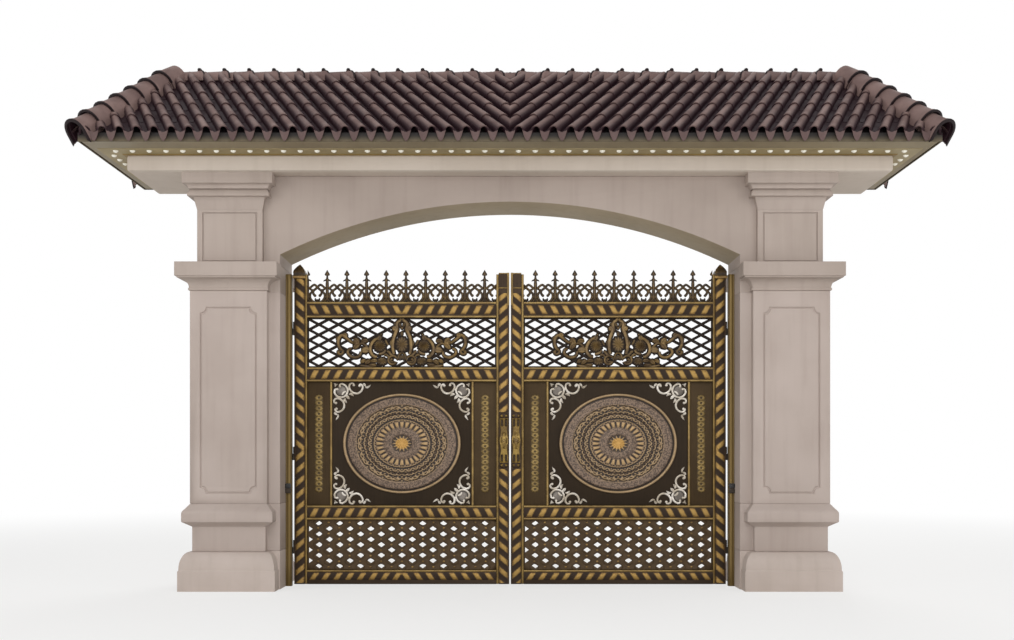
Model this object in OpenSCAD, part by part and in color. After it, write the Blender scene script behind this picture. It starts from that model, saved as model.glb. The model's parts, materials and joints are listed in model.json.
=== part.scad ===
// Gateway: two cast aluminium leaves between rendered pillars, under an arch and a hipped tile roof.
// Origin: middle of the passage at ground level. +X to the right, +Y inwards, +Z up. Millimetres.

/* [Passage] */
// Clear width between the two jambs
opening_w = 4000; // [3300:10:4900]
// Thickness of the wall over the passage
wall_t = 550; // [440:10:700]
// Height of the arch springing above the capitals
spring_h = 91; // [70:1:120]
// Rise of the arch from springing to crown
arch_rise = 459; // [350:1:560]

/* [Pillars] */
// Width of the wall strip beside each pilaster
jamb_strip = 95; // [90:1:140]
// Width of a pilaster
pilaster_w = 665; // [540:5:900]
// Projection of a pilaster from the wall
pilaster_proj = 90; // [70:1:120]
// Height of the plinth block
plinth_h = 170; // [130:1:220]
// Height of the rounded moulding over the plinth
ovolo_h = 165; // [130:1:210]
// Overhang of the plinth
plinth_over = 85; // [60:1:90]
// Height of the dado
dado_h = 215; // [170:1:280]
// Height of the belt moulding
belt_h = 198; // [160:1:240]
// Overhang of the belt moulding
belt_over = 60; // [40:1:80]
// Height of the shaft
shaft_h = 1837; // [1700:1:2210]
// Height of the main capital
capital_h = 235; // [190:1:290]
// Overhang of the main capital
capital_over = 105; // [85:1:130]
// Step in from the shaft to the upper pier, on each side
upper_inset = 50; // [30:1:60]
// Height of the upper pier
upper_pier_h = 470; // [390:1:570]
// Height of the upper capital
upper_capital_h = 305; // [250:1:370]
// Overhang of the upper capital
upper_over = 105; // [80:1:130]
// Margin round the recessed line of a panel
panel_margin = 88; // [70:1:110]
// Width of the line cut round a panel
panel_line = 14; // [10:1:18]
// Depth of the line cut round a panel
panel_depth = 12; // [8:1:16]
// Width of the two plain margins beside an upper pier's panel, together
upper_margin = 90; // [74:2:110]
// Radius of the hollow corners of a shaft's panel
panel_hollow = 52; // [40:1:64]

/* [Cornice and roof] */
// Height of the cornice
cornice_h = 145; // [120:1:180]
// Step out from the upper capitals to the face of the cornice
cornice_over = 20; // [10:1:40]
// Overhang of the cornice past the upper capitals at each end
cornice_end = 462; // [380:1:560]
// Overhang of the roof past each end of the cornice
eave_end = 263; // [210:1:320]
// Overhang of the roof past the front and back of the cornice
eave_front = 420; // [350:5:510]
// Thickness of the eave board
board_t = 35; // [25:1:50]
// Step in from the roof's edge to the eave board
board_inset = 20; // [10:1:40]
// Rise of the roof from the eave board to the ridge
roof_rise = 735; // [610:5:880]
// Run of an end slope, from the eave in to the ridge's end
end_run = 580; // [480:5:700]
// Height of the roof slabs, measured straight up
slab_drop = 70; // [50:1:90]
// Radius of the ridge cap
ridge_r = 100; // [85:1:120]
// Radius of the hip caps
hip_r = 96; // [80:1:115]
// Number of tile columns along a long eave
tile_columns = 50; // [40:2:60]
// Radius of an eave button
button_r = 22; // [16:1:26]

/* [Leaf frame] */
// Gap under the leaves
floor_gap = 18; // [10:1:30]
// Gap between the two leaves
centre_gap = 14; // [12:1:20]
// Gap between a leaf and its jamb channel
hinge_gap = 22; // [18:1:30]
// Width of the channel on each jamb
channel_w = 55; // [44:1:70]
// Depth of the leaf frame and of the jamb channel
leaf_t = 60; // [50:1:72]
// Width of a stile
stile_w = 94; // [78:1:113]
// Width of the bead along the inner edge of a stile
bead_w = 22; // [18:1:28]
// Height of the bottom rail
bottom_rail_h = 127; // [105:1:153]
// Height of the lower lattice
lower_lattice_h = 447; // [370:1:540]
// Height of the lower middle rail
lower_rail_h = 127; // [105:1:153]
// Height of the centre panel
panel_h = 1104; // [1000:1:1150]
// Height of the upper middle rail
upper_rail_h = 127; // [105:1:153]
// Height of the upper lattice
upper_lattice_h = 443; // [400:1:480]
// Height of the top rail
top_rail_h = 140; // [116:1:168]
// Rise of the stiles over the top rail
stile_rise = 259; // [240:1:280]

/* [Leaf infill] */
// Thickness of a lattice
lattice_t = 16; // [12:1:22]
// Width of the border round a lattice
lattice_border = 12; // [8:1:16]
// Half widths of a diamond across the upper lattice
upper_columns = 19; // [15:2:23]
// Half heights of a diamond up the upper lattice
upper_rows = 9; // [7:2:11]
// Width of an upper lattice bar, measured straight up
upper_bar = 24; // [18:1:30]
// Half widths of a diamond across the lower lattice
lower_columns = 18; // [14:2:22]
// Rows of holes up the lower lattice
lower_rows = 9; // [7:2:11]
// Width of a hole in the lower lattice
lower_hole_w = 66; // [54:1:80]
// Height of a hole in the lower lattice
lower_hole_h = 46; // [38:1:56]
// Thickness of the centre panel's plate
plate_t = 10; // [6:1:14]
// Width of the strip beside the centre panel
side_strip_w = 200; // [165:1:240]
// Width of a mullion
mullion_w = 22; // [18:1:28]
// Depth of a mullion
mullion_t = 30; // [24:1:36]
// Margin between the medallion and the mullions
medallion_side = 93; // [77:1:112]
// Margin between the medallion and the rails
medallion_foot = 105; // [87:1:126]
// Relief of the medallion
medallion_t = 18; // [14:1:22]
// Length of a corner scroll's side
corner_w = 320; // [265:1:330]
// Relief of the scrolls and chain strips
scroll_t = 10; // [6:1:12]
// Width of a chain strip
chain_w = 76; // [62:1:92]
// Margin between a chain strip's ends and the rails
chain_end = 109; // [90:1:131]
// Margin between the palmette and the stiles
palmette_side = 256; // [213:1:308]
// Relief of the palmette
palmette_t = 14; // [10:1:18]

/* [Cresting and fittings] */
// Number of whole spears on a leaf
spears = 9; // [7:1:11]
// Distance from the hinge stile to the first whole spear
first_spear = 174; // [150:1:190]
// Distance from the last spear to the meeting stile
last_spear = 102; // [85:1:123]
// Height of a spear
spear_h = 289; // [240:1:340]
// Thickness of the cresting
crest_t = 12; // [8:1:16]
// Width of a spear's rod
rod_w = 16; // [12:1:20]
// Overhang of the finial round the hinge stile
finial_over = 13; // [10:1:16]
// Height of a finial's point
finial_h = 78; // [64:1:94]
// Diameter of a hinge pin
pin_d = 16; // [12:1:19]
// Play between a hinge pin and its bore, in diameter
pin_play = 0.16; // [0.08:0.02:0.2]
// Outer diameter of a hinge barrel
barrel_d = 28; // [24:1:32]
// Height of one half of a hinge barrel
barrel_h = 60; // [50:1:72]
// Gap between the two halves of a hinge barrel
barrel_gap = 1; // [0.5:0.1:2]
// Thickness of a hinge flap
flap_t = 6; // [5:1:7]
// Width of a hinge flap on the leaf
flap_w = 70; // [58:1:84]
// Height of a handle plate
handle_h = 500; // [420:1:600]
// Margin beside a handle plate on its stile
handle_side = 6; // [4:1:8]
// Relief of a handle plate
handle_t = 14; // [10:1:18]
// Finger gap behind a handle's grip
grip_gap = 28; // [24:1:36]
// Thickness of a handle's grip
grip_t = 16; // [12:1:20]
// Height of the middle of the handle plates above the ground
handle_z = 1298; // [1080:1:1560]
// Size of the sensor block on each jamb channel
sensor_h = 88; // [72:1:106]
// Height of the foot of the sensor block above the ground
sensor_z = 828; // [700:1:1000]

/* [Hidden] */

render_colour = [0.72, 0.66, 0.61];
tile_colour = [0.33, 0.26, 0.27];
soffit_colour = [0.55, 0.49, 0.34];
bronze = [0.24, 0.18, 0.12];
gold = [0.66, 0.53, 0.27];
silver = [0.75, 0.73, 0.68];

// Pillar plan, for the pillar on +X
jamb_x = opening_w / 2;
pil_x0 = jamb_x + jamb_strip;
pil_x1 = pil_x0 + pilaster_w;
pil_y = wall_t / 2 + pilaster_proj;
upper_y = pil_y - upper_inset;

// Pillar levels
ovolo_z = plinth_h;
dado_z = ovolo_z + ovolo_h;
belt_z = dado_z + dado_h;
shaft_z = belt_z + belt_h;
capital_z = shaft_z + shaft_h;
upper_z = capital_z + capital_h;
upper_capital_z = upper_z + upper_pier_h;
cornice_z = upper_capital_z + upper_capital_h;
board_z = cornice_z + cornice_h;
roof_z = board_z + board_t;
ridge_z = roof_z + roof_rise;
spring_z = upper_z + spring_h;
arch_r = (jamb_x * jamb_x + arch_rise * arch_rise) / (2 * arch_rise);
cornice_y = upper_y + upper_over + cornice_over;
cornice_half = pil_x1 - upper_inset + upper_over + cornice_end;
eave_half_x = cornice_half + eave_end;
eave_half_y = cornice_y + eave_front;
ridge_half = eave_half_x - end_run;

// Leaf plan, for the leaf on +X
leaf_x0 = centre_gap / 2;
leaf_x1 = jamb_x - channel_w - hinge_gap;
field_x0 = leaf_x0 + stile_w + bead_w;
field_x1 = leaf_x1 - stile_w - bead_w;
field_w = field_x1 - field_x0;
field_mid = (field_x0 + field_x1) / 2;
hinge_x = leaf_x1 + hinge_gap / 2;
barrel_clear = 4; // gap between the leaf's back face and a hinge barrel
hinge_y = leaf_t / 2 + barrel_d / 2 + barrel_clear;

// Leaf levels
lower_lattice_z = floor_gap + bottom_rail_h;
lower_rail_z = lower_lattice_z + lower_lattice_h;
panel_z = lower_rail_z + lower_rail_h;
upper_rail_z = panel_z + panel_h;
upper_lattice_z = upper_rail_z + upper_rail_h;
top_rail_z = upper_lattice_z + upper_lattice_h;
crest_z = top_rail_z + top_rail_h;
stile_top = crest_z + stile_rise;
panel_mid_z = panel_z + panel_h / 2;
inner_panel_w = field_w - 2 * side_strip_w - 2 * mullion_w;
medallion_a = inner_panel_w / 2 - medallion_side;
medallion_b = panel_h / 2 - medallion_foot;
chain_l = panel_h - 2 * chain_end;
palmette_half = field_w / 2 - palmette_side;
spear_pitch = (field_w - first_spear - last_spear) / (spears - 1);
finial_w = stile_w + 2 * finial_over;
hinge_levels = [floor_gap + 0.13 * (crest_z - floor_gap), panel_z + 0.42 * panel_h, top_rail_z - 90];
far = 20000;     // longer than the whole gateway
ridge_sink = 30; // how far the ridge cap comes down below the ridge line
cap_over = 40;   // how far the ridge cap runs past the ridge's end
button_t = 6;    // thickness of an eave button
button_inset = 150; // step in from the roof's end to the buttons under it
mitre_run = 500;    // how far a moulding's outline runs past its mitres before they cut it
channel_drop = 12;  // step down from the stile's top to the tops of the beads and jamb channels
sensor_d = 24;      // depth of a sensor block
sensor_step = 5;    // step in from the jamb channel's inner edge to the sensor block
grip_end = 70;      // step in from a handle's end to the end of its grip
grip_foot = 20;     // height of each foot of a grip
flap_root = 12;  // width of the web between a hinge barrel and its flap
boss_r = 14;     // radius of the boss at each end of a handle plate

// ---------------------------------------------------------------- helpers

function reversed(list) = [for (i = [len(list) - 1:-1:0]) list[i]];

// Points of an arc about [cx, cz] with two radii, from angle a0 to a1
function arc(cx, cz, rx, rz, a0, a1, n = 8) =
    [for (i = [0:n]) [cx + rx * cos(a0 + (a1 - a0) * i / n), cz + rz * sin(a0 + (a1 - a0) * i / n)]];

function ellipse(a, b, n = 48) = [for (i = [0:n - 1]) [a * cos(360 * i / n), b * sin(360 * i / n)]];

// Draws its children for the pillar or leaf on the left, which mirrors the right one
module on_left() mirror([1, 0, 0]) children();

// A moulding run round the rectangle x0..x1 by -y1..y1, with mitred corners.
// The profile lists [projection, height] from the foot to the top.
module mitred(profile, x0, x1, y1) intersection() {
    rotate([90, 0, 90]) translate([0, 0, x0 - mitre_run]) linear_extrude(x1 - x0 + 2 * mitre_run)
        polygon(concat([for (p = profile) [y1 + p[0], p[1]]],
                       [for (p = reversed(profile)) [-y1 - p[0], p[1]]]));
    rotate([90, 0, 0]) linear_extrude(2 * (y1 + mitre_run), center = true)
        polygon(concat([for (p = profile) [x1 + p[0], p[1]]],
                       [for (p = reversed(profile)) [x0 - p[0], p[1]]]));
}

// One course of the right pillar: its moulded pilasters and the plain wall strip behind them
module course(profile, inset = 0) difference() {
    union() {
        mitred(profile, pil_x0 + inset, pil_x1 - inset, pil_y - inset);
        translate([jamb_x, -wall_t / 2, profile[0][1]])
            cube([pilaster_w / 2 + jamb_strip, wall_t, profile[len(profile) - 1][1] - profile[0][1]]);
    }
    translate([0, -wall_t / 2, 0]) cube([jamb_x, wall_t, cornice_z]);
}

// Outline of a panel with hollowed corners, centred on the origin
function hollow_panel(w, h, r) = concat(
    arc(-w / 2, -h / 2, r, r, 90, 0, 4), arc(w / 2, -h / 2, r, r, 180, 90, 4),
    arc(w / 2, h / 2, r, r, 270, 180, 4), arc(-w / 2, h / 2, r, r, 360, 270, 4));

// A closed line cut into a front face at y, and into the matching back face
module panel_cut(x0, x1, z0, z1, y, r) for (side = [-1, 1])
    translate([(x0 + x1) / 2, side * y, (z0 + z1) / 2]) rotate([90, 0, 0])
        linear_extrude(2 * panel_depth, center = true) difference() {
            polygon(hollow_panel(x1 - x0, z1 - z0, r));
            polygon(hollow_panel(x1 - x0 - 2 * panel_line, z1 - z0 - 2 * panel_line, r));
        }

// ---------------------------------------------------------------- pillars

module plinth() color(render_colour) course(concat(
    [[plinth_over, 0], [plinth_over, ovolo_z], [plinth_over - 8, ovolo_z + 12]],
    arc(0, ovolo_z + 20, plinth_over - 8, ovolo_h - 20, 0, 84),
    [[-15, dado_z]]));

module pedestal() color(render_colour) course([
    [-15, dado_z], [-15, belt_z], [belt_over - 8, belt_z + 0.2 * belt_h],
    [belt_over, belt_z + 0.22 * belt_h], [belt_over, belt_z + 0.62 * belt_h],
    [belt_over - 8, belt_z + 0.70 * belt_h], [0.55 * belt_over, belt_z + 0.80 * belt_h], [0, shaft_z]]);

module shaft() color(render_colour) difference() {
    course([[0, shaft_z], [0, capital_z]]);
    panel_cut(pil_x0 + panel_margin, pil_x1 - panel_margin, shaft_z + panel_margin,
              capital_z - 1.6 * panel_margin, pil_y, panel_hollow);
}

module capital() color(render_colour) course(concat(
    [[0, capital_z], [12, capital_z + 4], [12, capital_z + 20], [6, capital_z + 25]],
    arc(capital_over - 24, capital_z + 25, capital_over - 30, 0.32 * capital_h, 180, 90),
    [[capital_over - 14, capital_z + 0.44 * capital_h], [capital_over - 14, capital_z + 0.49 * capital_h],
     [capital_over, capital_z + 0.49 * capital_h], [capital_over, upper_z]]));

module upper_pier() color(render_colour) difference() {
    course([[0, upper_z], [0, upper_capital_z]], upper_inset);
    translate([0, -far / 2, upper_z]) cube([pil_x0 + upper_inset, far, upper_pier_h]);
    side = upper_inset + upper_margin / 2;
    panel_cut(pil_x0 + side, pil_x1 - side, upper_z + 20, upper_capital_z - 20, upper_y, 1);
}

module upper_capital() color(render_colour) difference() {
    course(concat(
        [[0, upper_capital_z], [26, upper_capital_z + 0.36 * upper_capital_h]],
        arc(30, upper_capital_z + 0.36 * upper_capital_h, 40, 0.21 * upper_capital_h, 0, 80, 6),
        arc(upper_over - 10, upper_capital_z + 0.57 * upper_capital_h, 34, 0.12 * upper_capital_h,
            180, 90, 6),
        [[upper_over, upper_capital_z + 0.7 * upper_capital_h], [upper_over, cornice_z]]), upper_inset);
    translate([0, -wall_t / 2, upper_capital_z]) cube([pil_x0 + upper_inset, wall_t, upper_capital_h]);
}

// ---------------------------------------------------------------- arch, cornice and roof

module arch_beam() color(render_colour) difference() {
    translate([-pil_x0 - upper_inset, -wall_t / 2, upper_z])
        cube([2 * (pil_x0 + upper_inset), wall_t, cornice_z - upper_z]);
    intersection() {
        translate([0, 0, spring_z + arch_rise - arch_r]) rotate([90, 0, 0])
            cylinder(r = arch_r, h = wall_t + 20, center = true, $fn = 180);
        translate([-jamb_x, -wall_t, upper_z - 10]) cube([opening_w, 2 * wall_t, cornice_z]);
    }
    translate([-jamb_x, -wall_t, upper_z - 10]) cube([opening_w, 2 * wall_t, spring_h + 10]);
}

module cornice() color(render_colour)
    mitred([[-14, cornice_z], [0, cornice_z + 14], [0, cornice_z + 0.86 * cornice_h], [-10, board_z]],
           -cornice_half, cornice_half, cornice_y);

module eave_board() color(soffit_colour)
    translate([-eave_half_x + board_inset, -eave_half_y + board_inset, board_z])
        cube([2 * (eave_half_x - board_inset), 2 * (eave_half_y - board_inset), board_t]);

// Solid form of the roof, from the eave board up
module hip_solid() intersection() {
    rotate([90, 0, 90]) linear_extrude(2 * eave_half_x, center = true)
        polygon([[-eave_half_y, roof_z], [eave_half_y, roof_z], [0, ridge_z]]);
    rotate([90, 0, 0]) linear_extrude(2 * eave_half_y, center = true)
        polygon([[-eave_half_x, roof_z], [eave_half_x, roof_z],
                 [ridge_half, ridge_z], [-ridge_half, ridge_z]]);
}

// The part of the hollow roof that lies over a plan outline
module slope(outline) color(tile_colour) intersection() {
    difference() {
        hip_solid();
        translate([0, 0, -slab_drop]) hip_solid();
    }
    translate([0, 0, roof_z - 10]) linear_extrude(roof_rise + 20) polygon(outline);
}

long_slope = [[-eave_half_x, -eave_half_y], [eave_half_x, -eave_half_y], [ridge_half, 0], [-ridge_half, 0]];
end_slope = [[eave_half_x, -eave_half_y], [eave_half_x, eave_half_y], [ridge_half, 0]];

module front_slope() slope(long_slope);
module back_slope() slope([for (p = reversed(long_slope)) [p[0], -p[1]]]);
module right_hip_slope() slope(end_slope);
module left_hip_slope() slope([for (p = reversed(end_slope)) [-p[0], p[1]]]);

cap_end = ridge_half + cap_over;
hip_run = [eave_half_x - ridge_half, eave_half_y];
hip_len = sqrt(hip_run[0] * hip_run[0] + hip_run[1] * hip_run[1] + roof_rise * roof_rise);

module ridge_caps() color(tile_colour) difference() {
    translate([0, 0, ridge_z]) rotate([0, 90, 0])
        cylinder(r = ridge_r, h = 2 * cap_end, center = true, $fn = 64);
    hip_solid();
    translate([-far / 2, -far / 2, ridge_z - far - ridge_sink]) cube([far, far, far]);
}

// One hip cap, from the ridge down to the front right corner of the roof
module hip_cap() difference() {
    translate([ridge_half, 0, ridge_z])
        rotate([0, 180 - acos(roof_rise / hip_len), atan2(-hip_run[1], hip_run[0])])
            cylinder(r = hip_r, h = hip_len, $fn = 64);
    hip_solid();
    translate([cap_end - far, -far / 2, 0]) cube([far, far, far]);
    translate([0, -1, 0]) cube([far, far, far]);
    translate([0, -eave_half_y - 400, roof_z - 400]) cube([far, 800 + eave_half_y, 400]);
}

module hip_caps() color(tile_colour) for (mx = [0, 1], my = [0, 1])
    mirror([mx, 0, 0]) mirror([0, my, 0]) hip_cap();

button_pitch = 2 * eave_half_x / tile_columns;
button_y = cornice_y + 0.31 * eave_front;
end_buttons = floor(button_y / button_pitch);

module eave_buttons() color(silver) {
    for (side = [-1, 1], i = [1:tile_columns - 2])
        translate([(i + 0.5) * button_pitch - eave_half_x, side * button_y, board_z - button_t])
            cylinder(r = button_r, h = button_t, $fn = 24);
    for (side = [-1, 1], i = [1 - end_buttons:end_buttons - 1])
        translate([side * (eave_half_x - button_inset), i * button_pitch, board_z - button_t])
            cylinder(r = button_r, h = button_t, $fn = 24);
}

// ---------------------------------------------------------------- jamb fittings

module jamb_channel() color(gold)
    translate([jamb_x - channel_w, -leaf_t / 2, 0]) cube([channel_w, leaf_t, stile_top - channel_drop]);

module sensor_blocks() color("black") for (m = [0, 1]) mirror([m, 0, 0])
    translate([jamb_x - channel_w + sensor_step, -leaf_t / 2 - sensor_d, sensor_z])
        cube([channel_w - sensor_step, sensor_d, sensor_h]);

// Lower half barrel, flap and pin of each hinge, fixed on the jamb channel's back face
module hinge_pins() color(bronze) for (z = hinge_levels) union() {
    translate([hinge_x, hinge_y, z - barrel_h]) cylinder(d = barrel_d, h = barrel_h, $fn = 48);
    translate([hinge_x, hinge_y, z - barrel_h]) cylinder(d = pin_d, h = 2 * barrel_h, $fn = 48);
    translate([hinge_x - 2, leaf_t / 2, z - barrel_h])
        cube([jamb_x - hinge_x + 2, flap_t, barrel_h]);
    translate([hinge_x - flap_root / 2, leaf_t / 2 + 1, z - barrel_h])
        cube([flap_root, barrel_d / 2, barrel_h]);
}

// Upper half barrel and strap of each hinge, fixed on the leaf's back face
module hinge_straps() color(bronze) for (z = hinge_levels) difference() {
    union() {
        translate([hinge_x, hinge_y, z + barrel_gap]) cylinder(d = barrel_d, h = barrel_h, $fn = 48);
        translate([hinge_x - flap_w, leaf_t / 2, z + barrel_gap]) cube([flap_w + 2, flap_t, barrel_h]);
        translate([hinge_x - flap_root / 2, leaf_t / 2 + 1, z + barrel_gap])
            cube([flap_root, barrel_d / 2, barrel_h]);
    }
    translate([hinge_x, hinge_y, z]) cylinder(d = pin_d + pin_play, h = barrel_h + 10, $fn = 48);
}

// ---------------------------------------------------------------- leaf frame

module stiles() color(bronze) {
    for (x = [leaf_x0, field_x1 + bead_w]) translate([x, -leaf_t / 2, floor_gap])
        union() {
            cube([stile_w, leaf_t, stile_top - floor_gap]);
            translate([x == leaf_x0 ? stile_w : -bead_w, 8, 0])
                cube([bead_w, leaf_t - 16, stile_top - floor_gap - channel_drop]);
        }
}

module rail(z, h) translate([field_x0, -leaf_t / 2, z]) cube([field_w, leaf_t, h]);

module rails() color(bronze) {
    rail(floor_gap, bottom_rail_h);
    rail(lower_rail_z, lower_rail_h);
    rail(upper_rail_z, upper_rail_h);
    rail(top_rail_z, top_rail_h);
}

// Seat and pyramid on the hinge stile, and a flat cap on the meeting stile
module finials() color(gold) {
    x = leaf_x1 - stile_w / 2;
    mitred([[0, stile_top], [0, stile_top + 14]], x - finial_w / 2, x + finial_w / 2, finial_w / 2);
    intersection() {
        translate([x, 0, stile_top + 14]) rotate([90, 0, 0]) linear_extrude(finial_w, center = true)
            polygon([[-finial_w / 2 + 10, 0], [finial_w / 2 - 10, 0], [0, finial_h - 14]]);
        translate([x, 0, stile_top + 14]) rotate([90, 0, 90]) linear_extrude(finial_w, center = true)
            polygon([[-finial_w / 2 + 10, 0], [finial_w / 2 - 10, 0], [0, finial_h - 14]]);
    }
    translate([leaf_x0, -leaf_t / 2, stile_top]) cube([stile_w, leaf_t, 10]);
}

// ---------------------------------------------------------------- lattices

// A diamond hole about [cx, cz] with half sizes a and b, held within the field w by h
function diamond(cx, cz, a, b, w, h) =
    [for (p = [[cx - a, cz], [cx, cz + b], [cx + a, cz], [cx, cz - b]])
        [min(max(p[0], 0), w), min(max(p[1], 0), h)]];

// A plate with staggered diamond holes inside a plain border. Holes stand on every second node of a grid of
// columns by rows steps, which starts a share of a row up from the field's foot. A hole is given as [width,
// height], or leaves crossed bars of that upright width between it and the next.
module lattice(z, height, columns, rows, hole, bar, start) {
    w = field_w - 2 * lattice_border;
    h = height - 2 * lattice_border;
    a = w / columns;
    b = h / rows;
    shrink = 1 - bar / (2 * b);
    half = hole[0] > 0 ? hole / 2 : [a * shrink, b * shrink];
    color(bronze) translate([field_x0 + lattice_border, 0, z + lattice_border]) rotate([90, 0, 0])
        linear_extrude(lattice_t, center = true) difference() {
            translate([-lattice_border, -lattice_border]) square([field_w, height]);
            for (i = [0:columns], j = [0:rows - ceil(start)])
                if ((i + j) % 2 == 1) polygon(diamond(i * a, (j + start) * b, half[0], half[1], w, h));
        }
}

module upper_lattice()
    lattice(upper_lattice_z, upper_lattice_h, upper_columns, upper_rows, [0, 0], upper_bar, 0);

module lower_lattice()
    lattice(lower_lattice_z, lower_lattice_h, lower_columns, lower_rows,
        [lower_hole_w, lower_hole_h], 0, 0.5);

// ---------------------------------------------------------------- ornaments

// Puts a flat ornament, drawn upright from y = 0 forwards, on the faces at -y and +y
module both_faces(y) for (m = [0, 1]) mirror([0, m, 0]) translate([0, -y, 0]) children();

module disc(x, z, r, t) translate([x, 0, z]) rotate([90, 0, 0]) cylinder(r = r, h = t, $fn = 32);

// Right half of the palmette's outline, in shares of its half width and of the lattice's height
palmette_edge = [[0, 0.97], [0.09, 0.93], [0.14, 0.72], [0.20, 0.45], [0.30, 0.60], [0.38, 0.66],
                 [0.47, 0.55], [0.52, 0.46], [0.66, 0.58], [0.74, 0.62], [0.80, 0.55], [0.88, 0.70],
                 [0.95, 0.72], [1, 0.5], [0.99, 0.26], [0.90, 0.30], [0.78, 0.22], [0.68, 0.03]];

module palmette() color(gold) both_faces(lattice_t / 2)
    translate([field_mid, 0, upper_lattice_z]) rotate([90, 0, 0]) linear_extrude(palmette_t)
        polygon([for (side = [1, -1], p = side > 0 ? palmette_edge : reversed(palmette_edge))
            [side * p[0] * palmette_half, p[1] * upper_lattice_h]]);

module centre_panel() color(bronze) union() {
    translate([field_x0, -plate_t / 2, panel_z]) cube([field_w, plate_t, panel_h]);
    for (x = [field_x0 + side_strip_w, field_x1 - side_strip_w - mullion_w])
        translate([x, -mullion_t / 2, panel_z]) cube([mullion_w, mullion_t, panel_h]);
}

// A raised oval ring between two shares of the medallion's size
module oval_ring(outer, inner, t) rotate([90, 0, 0]) linear_extrude(t) difference() {
    polygon(ellipse(medallion_a * outer, medallion_b * outer));
    polygon(ellipse(medallion_a * inner, medallion_b * inner));
}

star_rays = 14;

module medallion() color(gold) both_faces(plate_t / 2) translate([field_mid, 0, panel_mid_z]) union() {
    rotate([90, 0, 0]) linear_extrude(medallion_t / 2) polygon(ellipse(medallion_a, medallion_b));
    oval_ring(1, 0.965, medallion_t);
    oval_ring(0.76, 0.73, 0.8 * medallion_t);
    oval_ring(0.42, 0.39, 0.8 * medallion_t);
    rotate([90, 0, 0]) linear_extrude(medallion_t) polygon([for (i = [0:2 * star_rays - 1])
        (i % 2 == 0 ? 0.17 : 0.09)
            * [medallion_a * cos(180 * i / star_rays), medallion_b * sin(180 * i / star_rays)]]);
}

// A quarter scroll in the corner at the origin, growing towards +x and +z
module corner_scroll() union() {
    r = corner_w / 4;
    disc(r, r, r, scroll_t);
    disc(2.3 * r, 0.75 * r, 0.7 * r, scroll_t);
    disc(0.75 * r, 2.3 * r, 0.7 * r, scroll_t);
    disc(3.4 * r, 0.5 * r, 0.48 * r, scroll_t);
    disc(0.5 * r, 3.4 * r, 0.48 * r, scroll_t);
}

module corner_scrolls() color(silver) both_faces(plate_t / 2)
    for (sx = [0, 1], sz = [0, 1])
        translate([field_mid, 0, panel_mid_z]) mirror([sx, 0, 0]) mirror([0, 0, sz])
            translate([-inner_panel_w / 2 + 8, 0, -panel_h / 2 + 8]) corner_scroll();

module chain_strips() color(gold) both_faces(plate_t / 2)
    for (x = [field_x0 + side_strip_w / 2, field_x1 - side_strip_w / 2]) union() {
        translate([x - chain_w / 2, -0.6 * scroll_t, panel_mid_z - chain_l / 2 + chain_w / 2])
            cube([chain_w, 0.6 * scroll_t, chain_l - chain_w]);
        for (s = [-1, 1]) disc(x, panel_mid_z + s * (chain_l - chain_w) / 2, chain_w / 2, 0.6 * scroll_t);
    }

// ---------------------------------------------------------------- cresting and handle

// Upright outline of a spear with its cross piece, its foot at the origin, in shares of its height
function spear() = [
    [-rod_w / 2, 0], [-rod_w / 2, 0.62 * spear_h], [-30, 0.64 * spear_h], [-36, 0.68 * spear_h],
    [-30, 0.71 * spear_h], [-rod_w / 2, 0.72 * spear_h], [-rod_w / 2, 0.79 * spear_h], [-27, 0.84 * spear_h],
    [0, spear_h], [27, 0.84 * spear_h], [rod_w / 2, 0.79 * spear_h], [rod_w / 2, 0.72 * spear_h],
    [30, 0.71 * spear_h], [36, 0.68 * spear_h], [30, 0.64 * spear_h],
    [rod_w / 2, 0.62 * spear_h], [rod_w / 2, 0]];

crest_r = spear_pitch / 4 + 2;

module cresting() color(gold) intersection() {
    union() {
        for (i = [0:spears]) translate([field_x1 - first_spear - (i - 1) * spear_pitch, 0, crest_z]) {
            rotate([90, 0, 0]) linear_extrude(crest_t, center = true) polygon(spear());
            if (i > 0) for (dx = [-1, 1]) translate([dx * spear_pitch / 4, 0, 106]) difference() {
                rotate([90, 0, 0]) cylinder(r = crest_r, h = 0.8 * crest_t, center = true, $fn = 32);
                rotate([90, 0, 0]) cylinder(r = crest_r - 14, h = crest_t, center = true, $fn = 32);
            }
        }
        for (z = [0, 50, 148]) translate([field_x0, -0.3 * crest_t, crest_z + z])
            cube([field_w, 0.6 * crest_t, 12]);
    }
    translate([field_x0, -leaf_t / 2, crest_z]) cube([field_w, leaf_t, spear_h + 10]);
}

handle_w = stile_w - 2 * handle_side;
grip_half = handle_h / 2 - grip_end;

module handle() color(gold) both_faces(leaf_t / 2)
    translate([leaf_x0 + stile_w / 2, 0, handle_z]) union() {
        translate([-handle_w / 2 + 8, -handle_t, -handle_h / 2 + 30])
            cube([handle_w - 16, handle_t, handle_h - 60]);
        for (s = [-1, 1]) {
            disc(0, s * (handle_h / 2 - handle_w / 2), handle_w / 2, handle_t);
            disc(0, s * (handle_h / 2 - handle_w / 2), boss_r, handle_t + boss_r);
        }
        translate([-grip_t / 2, -handle_t - grip_gap - grip_t, -grip_half])
            cube([grip_t, grip_t, 2 * grip_half]);
        for (z = [-grip_half, grip_half - grip_foot])
            translate([-grip_t / 2, -handle_t - grip_gap - 1, z])
                cube([grip_t, grip_gap + 2, grip_foot]);
    }

// ---------------------------------------------------------------- nodes

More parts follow.
